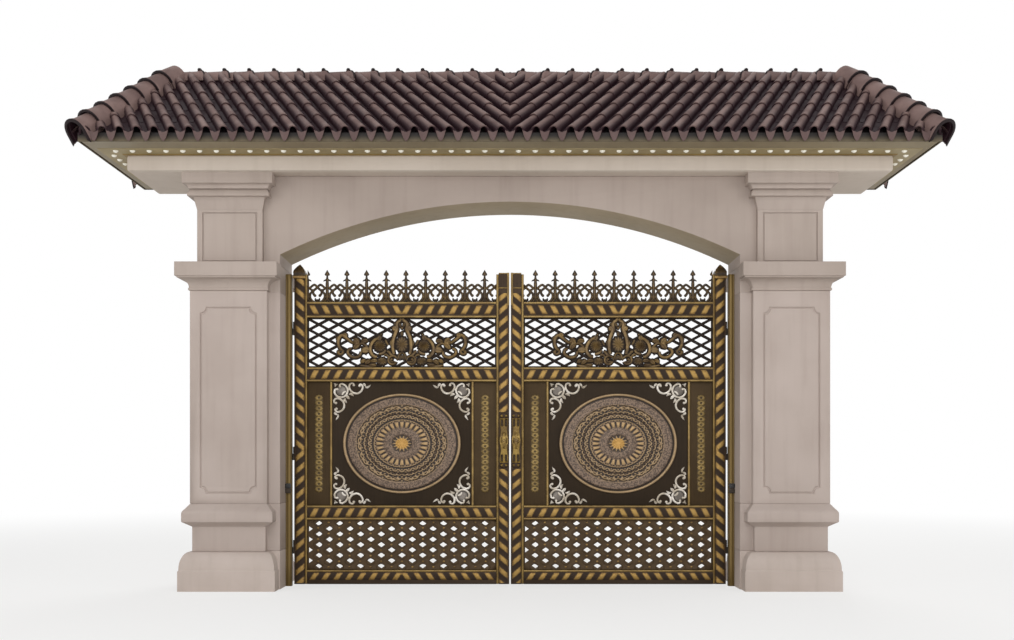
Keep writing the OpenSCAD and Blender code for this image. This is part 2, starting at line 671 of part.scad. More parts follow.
on_left() plinth();  // left_plinth
on_left() pedestal();  // left_pedestal
on_left() shaft();  // left_shaft
on_left() capital();  // left_capital
on_left() upper_pier();  // left_upper_pier
on_left() upper_capital();  // left_upper_capital
plinth();  // right_plinth
pedestal();  // right_pedestal
shaft();  // right_shaft
capital();  // right_capital
upper_pier();  // right_upper_pier
upper_capital();  // right_upper_capital
arch_beam();
cornice();
eave_board();
front_slope();
back_slope();
left_hip_slope();
right_hip_slope();
ridge_caps();
hip_caps();
eave_buttons();
on_left() jamb_channel();  // left_jamb_channel
on_left() hinge_pins();  // left_hinge_pins
jamb_channel();  // right_jamb_channel
hinge_pins();  // right_hinge_pins
sensor_blocks();
on_left() stiles();  // left_stiles
on_left() rails();  // left_rails
on_left() cresting();  // left_cresting
on_left() finials();  // left_finials
on_left() upper_lattice();  // left_upper_lattice
on_left() palmette();  // left_palmette
on_left() centre_panel();  // left_centre_panel
on_left() medallion();  // left_medallion
on_left() corner_scrolls();  // left_corner_scrolls
on_left() chain_strips();  // left_chain_strips
on_left() lower_lattice();  // left_lower_lattice
on_left() handle();  // left_handle
on_left() hinge_straps();  // left_hinge_straps
stiles();  // right_stiles
rails();  // right_rails
cresting();  // right_cresting
finials();  // right_finials
upper_lattice();  // right_upper_lattice
palmette();  // right_palmette
centre_panel();  // right_centre_panel
medallion();  // right_medallion
corner_scrolls();  // right_corner_scrolls
chain_strips();  // right_chain_strips
lower_lattice();  // right_lower_lattice
handle();  // right_handle
hinge_straps();  // right_hinge_straps
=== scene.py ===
# %% [markdown]
# # A gateway: cast metal leaves under a tile roof
#
# The real thing is a pair of cast aluminium leaves, painted dark bronze and gilded by hand, hung between
# rendered masonry pillars under an arch and a hipped roof of barrel tiles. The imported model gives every
# place and size. This lesson adds what a mould, a trowel and a brush add: ropes, scrolls, tiles and paint.

# %% Load the frame
import json
import math

import bmesh
import bpy
import numpy as np
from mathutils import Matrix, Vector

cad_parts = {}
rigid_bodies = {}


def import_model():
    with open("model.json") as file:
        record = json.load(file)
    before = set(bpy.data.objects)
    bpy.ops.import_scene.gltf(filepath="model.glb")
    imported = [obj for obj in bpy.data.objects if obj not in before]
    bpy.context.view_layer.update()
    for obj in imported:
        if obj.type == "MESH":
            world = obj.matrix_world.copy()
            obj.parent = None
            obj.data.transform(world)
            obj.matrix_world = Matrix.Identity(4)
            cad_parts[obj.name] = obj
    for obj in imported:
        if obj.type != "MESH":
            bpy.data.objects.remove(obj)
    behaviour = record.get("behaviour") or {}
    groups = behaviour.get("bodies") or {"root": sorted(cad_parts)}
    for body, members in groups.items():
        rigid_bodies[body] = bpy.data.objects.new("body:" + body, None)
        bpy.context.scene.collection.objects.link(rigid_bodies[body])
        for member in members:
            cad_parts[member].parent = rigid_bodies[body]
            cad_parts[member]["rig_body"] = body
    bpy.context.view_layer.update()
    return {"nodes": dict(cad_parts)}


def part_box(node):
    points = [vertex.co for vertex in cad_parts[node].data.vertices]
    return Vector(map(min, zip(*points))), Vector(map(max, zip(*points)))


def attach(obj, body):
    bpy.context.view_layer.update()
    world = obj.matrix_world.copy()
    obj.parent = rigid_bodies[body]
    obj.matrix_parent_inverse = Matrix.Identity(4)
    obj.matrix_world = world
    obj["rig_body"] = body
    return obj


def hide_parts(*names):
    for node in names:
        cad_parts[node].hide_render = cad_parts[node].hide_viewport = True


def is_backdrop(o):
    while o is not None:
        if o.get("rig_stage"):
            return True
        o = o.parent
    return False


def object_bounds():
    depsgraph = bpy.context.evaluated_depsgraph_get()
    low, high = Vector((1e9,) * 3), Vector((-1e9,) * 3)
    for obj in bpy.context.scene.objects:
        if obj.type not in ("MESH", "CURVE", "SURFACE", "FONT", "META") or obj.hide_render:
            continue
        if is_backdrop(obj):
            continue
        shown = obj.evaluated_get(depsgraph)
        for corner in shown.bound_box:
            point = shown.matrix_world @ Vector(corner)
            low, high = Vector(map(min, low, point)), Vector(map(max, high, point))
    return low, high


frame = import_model()
nodes = frame["nodes"]
rng = np.random.default_rng(7)


# %% [markdown]
# ## Camera, lights and floor
#
# The camera stands at eye height in front of the passage and looks level, so uprights stay upright, and
# a small shift lifts the view to the roof. A high lamp, a low one behind the camera, two at the sides and
# one at the back give the soft light of a pale studio. The world lights the object as plain grey, and is
# white in reflections and to the camera.

# %% Camera
EYE_HEIGHT = 1.17
EYE_DISTANCE = 10.275

scene = bpy.context.scene
camera_data = bpy.data.cameras.new("camera")
camera_data.lens = 40.83
camera_data.shift_x = -0.003
camera_data.shift_y = 0.133
camera = bpy.data.objects.new("camera", camera_data)
camera.location = (0, -EYE_DISTANCE, EYE_HEIGHT)
camera.rotation_euler = (math.radians(90), 0, 0)
scene.collection.objects.link(camera)
scene.camera = camera
scene.view_settings.view_transform = "Standard"


# %% [markdown]
# ## Finishes as formulas
#
# A finish is a tree of shader nodes. Written node by node it is hard to read, so three small classes let
# it be written as sums: a Value wraps a socket and overloads the operators, a Tree has one method that
# adds any node, and a Finish is the tree of a material.

# %% Shader values
class Value:
    """A socket of a tree. Each operator on values adds a Math node."""

    def __init__(self, tree, socket):
        self.tree = tree
        self.socket = socket

    def maths(self, operation, *values):
        return self.tree.node("ShaderNodeMath", dict(enumerate(values)), operation=operation)

    def __add__(self, other):
        return self.maths("ADD", self, other)

    def __sub__(self, other):
        return self.maths("SUBTRACT", self, other)

    def __rsub__(self, other):
        return self.maths("SUBTRACT", other, self)

    def __mul__(self, other):
        return self.maths("MULTIPLY", self, other)

    __radd__ = __add__
    __rmul__ = __mul__

    def sine(self):
        return self.maths("SINE", self)

    def rise(self, low, high):
        """0 below low, 1 above high, and a smooth step between."""
        inputs = {0: self, 1: low, 2: high}
        return self.tree.node("ShaderNodeMapRange", inputs, interpolation_type="SMOOTHSTEP")


class Tree:
    """The nodes of a material or a world."""

    def __init__(self, owner):
        owner.use_nodes = True
        self.nodes = owner.node_tree.nodes
        self.links = owner.node_tree.links

    def feed(self, socket, value):
        if isinstance(value, Value):
            self.links.new(value.socket, socket)
        else:
            socket.default_value = value

    def node(self, kind, inputs=None, output=0, **settings):
        """Adds a node: its settings first, then the values or links of its sockets."""
        made = self.nodes.new(kind)
        for name, value in settings.items():
            setattr(made, name, value)
        for name, value in (inputs or {}).items():
            self.feed(made.inputs[name], value)
        return Value(self, made.outputs[output])


def paint(red, green, blue):
    """A colour given as 0 to 255 on a screen, as the linear light that a shader works in."""
    share = np.array([red, green, blue]) / 255
    linear = np.where(share <= 0.04045, share / 12.92, ((share + 0.055) / 1.055) ** 2.4)
    return (*linear.tolist(), 1.0)


class Finish(Tree):
    """A material with the shader that every finish here shares."""

    def __init__(self, name, **constants):
        self.material = bpy.data.materials.new(name)
        super().__init__(self.material)
        for socket, value in constants.items():
            self.set(socket.replace("_", " ").title(), value)

    def set(self, socket, value):
        self.feed(self.nodes["Principled BSDF"].inputs[socket], value)

    def place(self, stretch=(1, 1, 1)):
        """The point on the piece, in metres, stretched along its axes."""
        point = self.node("ShaderNodeTexCoord", output="Object")
        return self.node("ShaderNodeMapping", {"Vector": point, "Scale": stretch})

    def height(self):
        """How high the point stands."""
        return self.node("ShaderNodeSeparateXYZ", {0: self.place()}, "Z")

    def noise(self, scale, detail=3.0, stretch=(1, 1, 1)):
        """Smooth noise about 0.5."""
        inputs = {"Vector": self.place(stretch), "Scale": scale, "Detail": detail}
        return self.node("ShaderNodeTexNoise", inputs)

    def mark(self, name):
        """A number that the piece carries at each point."""
        return self.node("ShaderNodeAttribute", output="Fac", attribute_name=name)

    def mix(self, share, first, second):
        """A colour between two, each a value or what paint takes."""
        first, second = [paint(*c) if isinstance(c, tuple) else c for c in (first, second)]
        return self.node("ShaderNodeMix", {0: share, 6: first, 7: second}, 2, data_type="RGBA")

    def colour(self, share, first, second):
        self.set("Base Color", self.mix(share, first, second))

    def bump(self, height, depth, strength=0.5):
        inputs = {"Height": height, "Distance": depth, "Strength": strength}
        self.set("Normal", self.node("ShaderNodeBump", inputs))


# %% World, lamps and floor
WORLD_GREY = 0.46
WHITE = (1, 1, 1, 1)

world = bpy.data.worlds.new("studio")
scene.world = world
sky = Tree(world)
camera_ray = sky.node("ShaderNodeLightPath", output="Is Camera Ray")
glossy_ray = sky.node("ShaderNodeLightPath", output="Is Glossy Ray")
seen = camera_ray.maths("MAXIMUM", camera_ray, glossy_ray)
level = sky.node("ShaderNodeMapRange", {"Value": seen, "To Min": WORLD_GREY})
sky.feed(sky.nodes["Background"].inputs["Strength"], level)
sky.feed(sky.nodes["Background"].inputs["Color"], WHITE)


def lamp(name, place, aim, size, power):
    """A square lamp of one size in metres, turned to a point at height aim over the origin."""
    data = bpy.data.lights.new(name, "AREA")
    data.size = size
    data.energy = power
    made = bpy.data.objects.new(name, data)
    made.location = place
    x, y, z = place
    made.rotation_euler = (math.atan2(math.hypot(x, y), z - aim), 0, math.atan2(x, -y))
    scene.collection.objects.link(made)


lamp("key_lamp", (-1.0, -10.0, 9.0), 1.2, 5.0, 250)
lamp("low_lamp", (0.5, -12.0, 2.4), 1.4, 6.0, 330)
lamp("right_lamp", (9.0, -7.0, 4.0), 2.0, 4.0, 150)
lamp("left_lamp", (-9.0, -7.0, 4.0), 2.0, 4.0, 150)
lamp("back_lamp", (2.0, 9.0, 8.0), 2.2, 5.0, 430)

floor_paint = Finish("floor_paint", roughness=0.9, base_color=paint(236, 235, 232))
distance = floor_paint.node("ShaderNodeVectorMath", {0: floor_paint.place()}, "Value", operation="LENGTH")
glow = floor_paint.node("ShaderNodeEmission", {"Color": WHITE, "Strength": 1.0})
direct = floor_paint.node("ShaderNodeLightPath", output="Is Camera Ray")
far = distance.rise(5.0, 16.0)
matt = Value(floor_paint, floor_paint.nodes["Principled BSDF"].outputs[0])
blend = floor_paint.node("ShaderNodeMixShader", {0: far + (1 - far) * direct * 0.62, 1: matt, 2: glow})
floor_paint.feed(floor_paint.nodes["Material Output"].inputs["Surface"], blend)

bpy.ops.mesh.primitive_circle_add(vertices=96, radius=60, fill_type="NGON")
floor = bpy.context.object
floor.name = "floor"
floor.data.materials.append(floor_paint.material)
floor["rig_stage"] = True


# %% [markdown]
# ## Skins worked out as arrays
#
# Nearly every added piece is a set of closed skins. Two shapes of array cover them all: rings of points
# that a tube is drawn through, and a front and a back grid that make a slab. The functions below turn
# such arrays into points and four-sided faces at once, for any number of copies.

# %% Skins
def grid(*axes):
    """Points [..., axis] from their coordinates, each a number or an array."""
    return np.stack(np.broadcast_arrays(*axes), -1).astype(float)


def round_turn(count):
    """Angles of count places round a circle."""
    return np.linspace(0, 2 * np.pi, count, endpoint=False)


def tube(rings, hoop=False):
    """Closed skins through rings[..., ring, place, xyz]. Each end closes on the middle of its ring.

    A hoop has no ends: its last ring joins its first.
    """
    rings = np.reshape(rings, (-1, *np.shape(rings)[-3:]))
    if hoop:
        rings = np.concatenate([rings, rings[:, :1]], 1)
    else:
        middle = np.broadcast_to(rings.mean(2, keepdims=True), rings.shape)
        rings = np.concatenate([middle[:, :1], rings, middle[:, -1:]], 1)
    index = np.arange(rings[..., 0].size).reshape(rings.shape[:3])
    near, far = index[:, :-1], index[:, 1:]
    quads = np.stack([near, np.roll(near, -1, 2), np.roll(far, -1, 2), far], -1)
    return rings.reshape(-1, 3), quads.reshape(-1, 4)


def slab(front, back):
    """Closed skins between two grids, each [..., row, column, xyz], joined round their edges."""
    grids = np.stack([front, back]).reshape(2, -1, *np.shape(front)[-3:])
    index = np.arange(grids[..., 0].size).reshape(grids.shape[:4])
    quads = []
    for side in index:
        quads.append(np.stack([side[:, :-1, :-1], side[:, 1:, :-1], side[:, 1:, 1:], side[:, :-1, 1:]], -1))
    for edge in (index[:, :, 0, :], index[:, :, -1, :], index[:, :, :, 0], index[:, :, :, -1]):
        quads.append(np.stack([edge[0][:, :-1], edge[0][:, 1:], edge[1][:, 1:], edge[1][:, :-1]], -1))
    return grids.reshape(-1, 3), np.concatenate([q.reshape(-1, 4) for q in quads])


def gather(*skins):
    """Several skins, each (points, quads), as one."""
    points, quads = zip(*skins)
    starts = np.cumsum([0, *map(len, points)])
    return np.concatenate(points), np.concatenate([q + start for q, start in zip(quads, starts)])


def flip(skin, axis):
    """A mirrored copy of a skin across the plane through the origin."""
    points = skin[0].copy()
    points[:, axis] *= -1
    return points, skin[1]


def mirrored(skin, *axes):
    """A skin with its mirrored copy, for one axis after another."""
    for axis in axes:
        skin = gather(skin, flip(skin, axis))
    return skin


def shown(mesh, finish, body, replaces):
    """The object that shows a mesh, on its body and in its slot."""
    mesh.materials.clear()
    mesh.materials.append(finish.material)
    made = bpy.data.objects.new(mesh.name, mesh)
    scene.collection.objects.link(made)
    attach(made, body)
    if replaces:
        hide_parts(*replaces)
    return made


def piece(name, skin, body, finish, replaces=(), marks=None, cuts=(), bend=35):
    """Makes one object: merges doubled points, cuts by planes, and turns the faces outwards."""
    points, quads = skin
    mesh = bpy.data.meshes.new(name)
    mesh.from_pydata(points, [], quads.tolist())
    for mark, values in (marks or {}).items():
        carried = mesh.attributes.new(mark, "FLOAT", "POINT")
        carried.data.foreach_set("value", np.full(len(points), values, "f"))
    form = bmesh.new()
    form.from_mesh(mesh)
    bmesh.ops.remove_doubles(form, verts=form.verts, dist=1e-6)
    for point, normal in cuts:
        everything = [*form.verts, *form.edges, *form.faces]
        bmesh.ops.bisect_plane(form, geom=everything, plane_co=point, plane_no=normal, clear_outer=True)
        open_edges = [edge for edge in form.edges if edge.is_boundary]
        bmesh.ops.holes_fill(form, edges=open_edges, sides=0)
    bmesh.ops.recalc_face_normals(form, faces=form.faces)
    form.to_mesh(mesh)
    form.free()
    mesh.shade_smooth()
    mesh.set_sharp_from_angle(angle=math.radians(bend))
    shown(mesh, finish, body, replaces)


def pair(name, skin, body, finish, replaces=(), marks=None, cuts=(), bend=35):
    """A piece on the right and its mirrored copy on the left. Body and replaced nodes go by side."""
    for side, way, made in (("right", 1, skin), ("left", -1, flip(skin, 0))):
        gone = [f"{side}_{node}" for node in replaces]
        own = [np.multiply(cut, (way, 1, 1)) for cut in cuts]
        piece(f"{side}_{name}", made, body.format(side=side), finish, gone, marks, own, bend)


# %% [markdown]
# ## Rendered masonry
#
# Pillars, arch and cornice are brick under smooth painted render. The frame already has their mouldings,
# so each is copied, its triangles are melted into flat faces and its edges get the small round that a
# trowel leaves. The paint is nearly even: faint clouds of tone, a fine grain and dust near the ground.
# Lighter and darker copies of the one paint are painted light and shade: lighter on the foot and the
# cornice, darker on the upper courses and the wall. The underside of the arch has its own khaki paint,
# a little darker as painted shade.

# %% Masonry finishes
def masonry_paint(name, light, dark):
    """Painted render: clouds of two tones, runs of dust under ledges, and a fine sandy grain."""
    finish = Finish(name, roughness=0.82)
    clouds = finish.noise(1.3, 4.0).rise(0.32, 0.7)
    runs = finish.noise(2.0, 3.0, stretch=(7, 7, 0.5)).rise(0.45, 0.8)
    dust = (1 - finish.height().rise(0.0, 0.5)) * finish.noise(9.0).rise(0.35, 0.65)
    finish.colour(clouds * 0.55 + runs * 0.3 + dust * 0.12, light, dark)
    finish.bump(finish.noise(260.0, 2.0) + finish.noise(14.0, 2.0) * 2.0, 0.0008, 0.55)
    return finish


# Painted light and shade: the foot and the cornice take lighter copies of the render paint, and the upper
# courses and the wall take darker ones.
render_paint = masonry_paint("render_paint", (184, 170, 162), (165, 150, 141))
lit_foot_paint = masonry_paint("lit_foot_paint", (198, 184, 176), (179, 165, 155))
shaded_high_paint = masonry_paint("shaded_high_paint", (176, 162, 153), (156, 142, 132))
lit_cornice_paint = masonry_paint("lit_cornice_paint", (203, 191, 179), (186, 173, 160))
shaded_wall_paint = masonry_paint("shaded_wall_paint", (171, 157, 148), (151, 137, 128))
# The passage paint is the arch's own khaki, a little darker as painted shade.
khaki_shaded_passage_paint = masonry_paint("khaki_shaded_passage_paint", (162, 147, 123), (140, 126, 102))


def dressed(node, finish, round_over=0.006):
    """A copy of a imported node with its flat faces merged. A Bevel modifier rounds its edges by
    round_over, and where that is 0 they stay sharp."""
    mesh = nodes[node].data.copy()
    mesh.name = node + "_dressed"
    form = bmesh.new()
    form.from_mesh(mesh)
    bmesh.ops.remove_doubles(form, verts=form.verts, dist=1e-5)
    bmesh.ops.dissolve_limit(form, angle_limit=math.radians(0.2), verts=form.verts, edges=form.edges)
    form.to_mesh(mesh)
    form.free()
    made = shown(mesh, finish, nodes[node]["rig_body"], [node])
    if not round_over:
        mesh.shade_flat()
        return made
    mesh.shade_smooth()
    bevel = made.modifiers.new("round_over", "BEVEL")
    bevel.width = round_over
    bevel.segments = 2
    bevel.limit_method = "ANGLE"
    bevel.angle_limit = math.radians(25)
    bevel.harden_normals = True
    return made


# %% Pillars, arch and cornice
COURSES = {"plinth": lit_foot_paint, "pedestal": render_paint, "shaft": render_paint, "capital": shaded_high_paint,
           "upper_pier": shaded_high_paint, "upper_capital": shaded_high_paint}
for side in ("left", "right"):
    for course, coat in COURSES.items():
        dressed(f"{side}_{course}", coat)
dressed("cornice", lit_cornice_paint, 0.01)
arch = dressed("arch_beam", shaded_wall_paint)
# Faces that look down take the passage paint: their own khaki, darker as painted shade under the arch.
arch.data.materials.append(khaki_shaded_passage_paint.material)
for face in arch.data.polygons:
    face.material_index = int(face.normal.z < -0.3)
print("masonry pieces", 2 * len(COURSES) + 2)


# %% [markdown]
# ## The tile roof
#
# Barrel tiles lie over troughs in five courses, each course lapping the one below. The columns lean away
# from the middle of the roof, so they meet there in a chevron. One tile is a thin slab bent to an arc,
# and the whole roof is that slab worked out for every column and course at once. Hips and the middle
# line then cut the columns with planes.

# %% Roof measures
eave_low, eave_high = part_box("front_slope")
EAVE_X, EAVE_Y, EAVE_Z = eave_high.x, -eave_low.y, eave_low.z
RIDGE_Z = eave_high.z
RIDGE_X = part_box("right_hip_slope")[0].x
COLUMNS = 50
COURSES_UP = 5
pitch = 2 * EAVE_X / COLUMNS
print("tile pitch", round(pitch, 4), "ridge half", round(RIDGE_X, 3))


# %% Tile finish
tile_glaze = Finish("tile_glaze", roughness=0.5)
# Painted shade: shaded_tone runs from the dark colour in the troughs, in the hollows and on the flanks of the
# covers to a random tone on each crown.
shaded_tone = tile_glaze.mark("shaded_tone")
weather = tile_glaze.noise(6.0, 4.0).rise(0.35, 0.72)
tile_body = tile_glaze.mix(shaded_tone, (42, 24, 30), (140, 116, 110))
tile_glaze.colour(weather * (shaded_tone * 0.25 + 0.1), tile_body, (58, 43, 46))
tile_glaze.set("Roughness", 0.45 + weather * 0.25)
tile_glaze.bump(tile_glaze.noise(70.0), 0.0015)
knob_and_shadow_glaze = Finish("knob_and_shadow_glaze", roughness=0.5)
knob_and_shadow_glaze.colour(knob_and_shadow_glaze.noise(25.0), (36, 22, 24), (20, 12, 14))
knob_and_shadow_glaze.bump(knob_and_shadow_glaze.noise(70.0), 0.001)
for glaze in (tile_glaze, knob_and_shadow_glaze):
    glaze.set("Specular IOR Level", 0.2)


def roof(name, skin, shaded_tone=None, replaces=(), finish=tile_glaze, cuts=()):
    """A piece of the roof, with its mark shaded_tone, a random tone with painted shade."""
    marks = {} if shaded_tone is None else {"shaded_tone": shaded_tone}
    piece(name, skin, "portal", finish, replaces, marks, cuts)


# %% Tiles
THICK = 0.012
LEAN_MIDDLE = 0.62
LEAN_END = 0.45


def arc_tiles(columns, middle, along, up, normal, lean, half, foot, crown, lap):
    """Tiles of one slope, as a slab with grids [column, course, row, across].

    A point is middle + along * (column + w + lean * s) + up * s + normal * h, where w = -half * cos(a)
    and h = foot + crown * sin(a) for an angle a from 0 to 180 degrees, and s climbs the course. The
    lower end stands on the course below by a lap, and the upper end is a tenth narrower.
    """
    angle = np.linspace(0, np.pi, 9 if crown > 0 else 5)
    course = np.arange(COURSES_UP)[:, None] / COURSES_UP
    s = (course + np.array([0.0, 0.08, 1.04]) / COURSES_UP)[None, :, :, None]
    taper = np.array([1.0, 0.985, 0.90])[:, None]
    lift = foot + np.array([lap, lap * 0.95, 0.0])[:, None]
    grids = []
    for depth in (0, THICK):
        w = (depth - half) * taper * np.cos(angle)
        x = np.reshape(columns, (-1, 1, 1, 1)) + w + np.reshape(lean, (-1, 1, 1, 1)) * s
        h = lift - depth + crown * taper * np.sin(angle) + 0 * x
        grids.append(middle + x[..., None] * along + (s + 0 * x)[..., None] * up + h[..., None] * normal)
    return slab(*grids), np.sin(angle)


def tiled_slope(middle, along, up, columns, lean):
    """The covers of one slope, the troughs half a pitch beside them, and the mark shaded_tone.

    The mark is random for each cover, and painted shade takes it down to 0 on the flanks, as
    3 * sin(a) - 2. A trough and the hollow under a cover have 0, the darkest colour, as painted shade.
    """
    along, up = np.array(along, float), np.array(up, float)
    normal = np.cross(along, up)
    normal *= np.sign(normal[2]) / np.linalg.norm(normal)
    common = (np.array(middle, float), along, up, normal, lean)
    covers, across = arc_tiles(columns * pitch, *common, 0.050, 0.024, 0.066, 0.010)
    troughs = arc_tiles((columns + 0.5) * pitch, *common, 0.042, 0.040, -0.024, 0.006)[0]
    light = rng.uniform(0.62, 1.0, len(columns) * COURSES_UP)
    tones = light[None, :, None, None] * np.clip(across * 3.0 - 2.0, 0, 1)
    tones = np.broadcast_to(tones, (2, len(light), 3, len(across))) * np.reshape([1, 0], (2, 1, 1, 1))
    return gather(covers, troughs), np.concatenate([tones.ravel(), np.zeros(len(troughs[0]))])


TOP_CUT = 0.045
HIP_CUT = 0.048
corner_x = EAVE_X - RIDGE_X
rise = RIDGE_Z - EAVE_Z
for end, side in ((1, "right"), (-1, "left")):
    columns = np.arange(-5, COLUMNS // 2) + 0.5
    lean = LEAN_MIDDLE - (LEAN_MIDDLE - LEAN_END) * np.maximum(columns, 0) * 2 / COLUMNS
    field, tones = tiled_slope((0, -EAVE_Y, EAVE_Z), (end, 0, 0), (0, EAVE_Y, rise), columns, lean)
    for way, face in ((1, "front"), (-1, "back")):
        skin = field if way == 1 else flip(field, 1)
        hip = (end * (EAVE_X - HIP_CUT), -way * (EAVE_Y - HIP_CUT), 0)
        cuts = [((0, 0, 0), (-end, 0, 0)), ((0, -way * TOP_CUT, 0), (0, way, 0)),
                (hip, (end * EAVE_Y, way * corner_x, 0))]
        roof(f"{side}_{face}_tiles", skin, tones, cuts=cuts)
    columns = np.arange(-6, 6) + 0.5
    skin, tones = tiled_slope((end * EAVE_X, 0, EAVE_Z), (0, 1, 0), (-end * corner_x, 0, rise), columns, 0)
    cuts = [((end * (EAVE_X + HIP_CUT), -way * (EAVE_Y - HIP_CUT), 0), (-end * EAVE_Y, -way * corner_x, 0))
            for way in (1, -1)]
    roof(f"{side}_end_tiles", skin, tones, cuts=cuts)


# %% [markdown]
# ## Ridge, hips and eave tongues
#
# A ridge or hip tile is half a pipe on two short legs, with a thicker collar at one end that stands over
# the narrow end of its neighbour. A thin ring of dark glaze at each collar is painted shade at the joint,
# and on the ridge a dark knob to lift the tile by stands on it. All of them come from one function that
# runs an arc along an axis. Under each trough at the eave hangs a pointed tongue that throws the rain clear.

# %% Cap tiles
def cap_tiles(starts, axis, rows, radius, leg, thick=0.014):
    """Half pipes from each start along an axis, as a slab with grids [cap, row, across].

    The section is half a circle, cos(a) to the side and sin(a) over the axis, with a leg straight down
    from each end. Rows lists how far along each section stands, and its size as a share of radius.
    """
    axis = np.array(axis, float) / np.linalg.norm(axis)
    side = np.cross(axis, (0, 0, 1))
    side /= np.linalg.norm(side)
    over = np.cross(side, axis)
    angle = np.radians(np.linspace(0, 180, 13))
    aside = np.cos(angle)[[0, *range(13), 12]]
    above = np.concatenate([[-leg / radius], np.sin(angle), [-leg / radius]])
    arc = aside[:, None] * side + above[:, None] * over
    run, size = np.transpose(rows)[:, :, None, None]
    line = np.reshape(starts, (-1, 1, 1, 3)) + run * axis
    return slab(line + size * radius * arc, line + (size * radius - thick) * arc)


def cap_rows(length, collar=1.07, end=0.88, back=0.010):
    """The rows of a cap tile: a collar, then a pipe that narrows to its end."""
    return ((-back, collar), (0.018, collar), (0.022, 1.0), (length + 0.012, end))


SHADOW_RIM_ROWS = ((-0.016, 1.07), (-0.014, 1.13), (-0.006, 1.13), (-0.002, 1.07))


def ball(centres, sizes, around=8, rows=6):
    """Ovals about centres: rings of radius sin(a) at heights -cos(a), times each axis' half size."""
    a = np.linspace(0.3, np.pi - 0.3, rows)[:, None]
    b = round_turn(around)
    unit = grid(np.sin(a) * np.cos(b), np.sin(a) * np.sin(b), -np.cos(a))
    return tube(np.reshape(centres, (-1, 1, 1, 3)) + unit * np.array(sizes))


def sheared(skin):
    """Slides points towards the middle of the roof by how far they stand off the ridge, as tiles lean."""
    skin[0][:, 0] -= LEAN_MIDDLE / EAVE_Y * np.abs(skin[0][:, 1])
    return skin


# %% Ridge
CAP_R = 0.082
CAP_LEG = 0.02
CAPS = 13
FIRST_CAP = 0.123
MIDDLE_KNOB = (0, -0.102, 4.446)
cap_pitch = (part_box("ridge_caps")[1].x - FIRST_CAP) / CAPS
tops = grid(FIRST_CAP + cap_pitch * np.arange(CAPS), 0, RIDGE_Z)
right = sheared(cap_tiles(tops, (1, 0, 0), cap_rows(cap_pitch), CAP_R, CAP_LEG))
middle = cap_tiles((-FIRST_CAP, 0, RIDGE_Z), (1, 0, 0), ((0, 0.9), (2 * FIRST_CAP, 0.9)), CAP_R, CAP_LEG)
skin = gather(mirrored(right, 0), middle)
roof("ridge_tiles", skin, 0.72 + 0.2 * np.sin(skin[0][:, 0] * 29), ["ridge_caps"])
# Painted shade: a thin ring of dark glaze at each collar stands for the shade at the joint.
shadow_rims = gather(sheared(cap_tiles(tops, (1, 0, 0), SHADOW_RIM_ROWS, CAP_R, 0.0)),
              ball(tops + (-0.008, 0, CAP_R * 1.07 + 0.006), (0.021, 0.040, 0.020)))
middle_knob = ball(np.array([(-0.014, 0.004, 0.016), (0.014, 0.004, 0.016), (0, 0, 0)]) + MIDDLE_KNOB,
                   (0.018, 0.016, 0.024))


# %% Hips
HIP_CAPS = 7
HIP_BACK = 0.016
HIP_R, LOWEST_R = 0.116, 0.104
HIP_LEG, LOWEST_LEG, LOWEST_SHADOW_RIM_LEG = 0.06, 0.085, 0.09
HIP_LIFT = 0.034
hip_foot = np.array([EAVE_X, -EAVE_Y, EAVE_Z])
hip_axis = (RIDGE_X, 0, RIDGE_Z) - hip_foot
hip_pitch = np.linalg.norm(hip_axis) / HIP_CAPS
hip_over = np.cross(np.cross(hip_axis, (0, 0, 1)), hip_axis)
hip_over /= np.linalg.norm(hip_over)
feet = hip_foot + hip_over * HIP_LIFT + hip_axis * (np.arange(HIP_CAPS) / HIP_CAPS)[:, None]
feet[0] += hip_axis / np.linalg.norm(hip_axis) * HIP_BACK
caps = cap_tiles(feet[1:], hip_axis, cap_rows(hip_pitch), HIP_R, HIP_LEG)
mouth = cap_rows(hip_pitch - HIP_BACK, 1.06, 0.90, 0.012)
lowest = cap_tiles(feet[:1], hip_axis, mouth, LOWEST_R, LOWEST_LEG)
# Painted shade: the inner skin of each hip cap has mark 0, the darkest tile colour.
unshaded_outside = np.concatenate([np.repeat([1.0, 0.0], len(points) // 2) for points, quads in (caps, lowest)])
skin = mirrored(gather(caps, lowest), 1, 0)
roof("hip_tiles", skin, np.tile(unshaded_outside, 4) * (0.84 + 0.12 * np.sin(skin[0][:, 2] * 25)), ["hip_caps"])
# Painted shade: the same dark rings at the joints of the hip caps.
hip_shadow_rims = gather(cap_tiles(feet[1:], hip_axis, SHADOW_RIM_ROWS, HIP_R, 0.0),
                  cap_tiles(feet[:1], hip_axis, SHADOW_RIM_ROWS, LOWEST_R, LOWEST_SHADOW_RIM_LEG, 0.020))
skin = gather(mirrored(shadow_rims, 0), mirrored(middle_knob, 1), mirrored(hip_shadow_rims, 1, 0))
roof("cap_shadow_rims", skin, finish=knob_and_shadow_glaze)


# %% Tongues under the troughs
TONGUE_HALF = 0.043
TONGUE_THICK = 0.008
TONGUE_OUT = 0.038


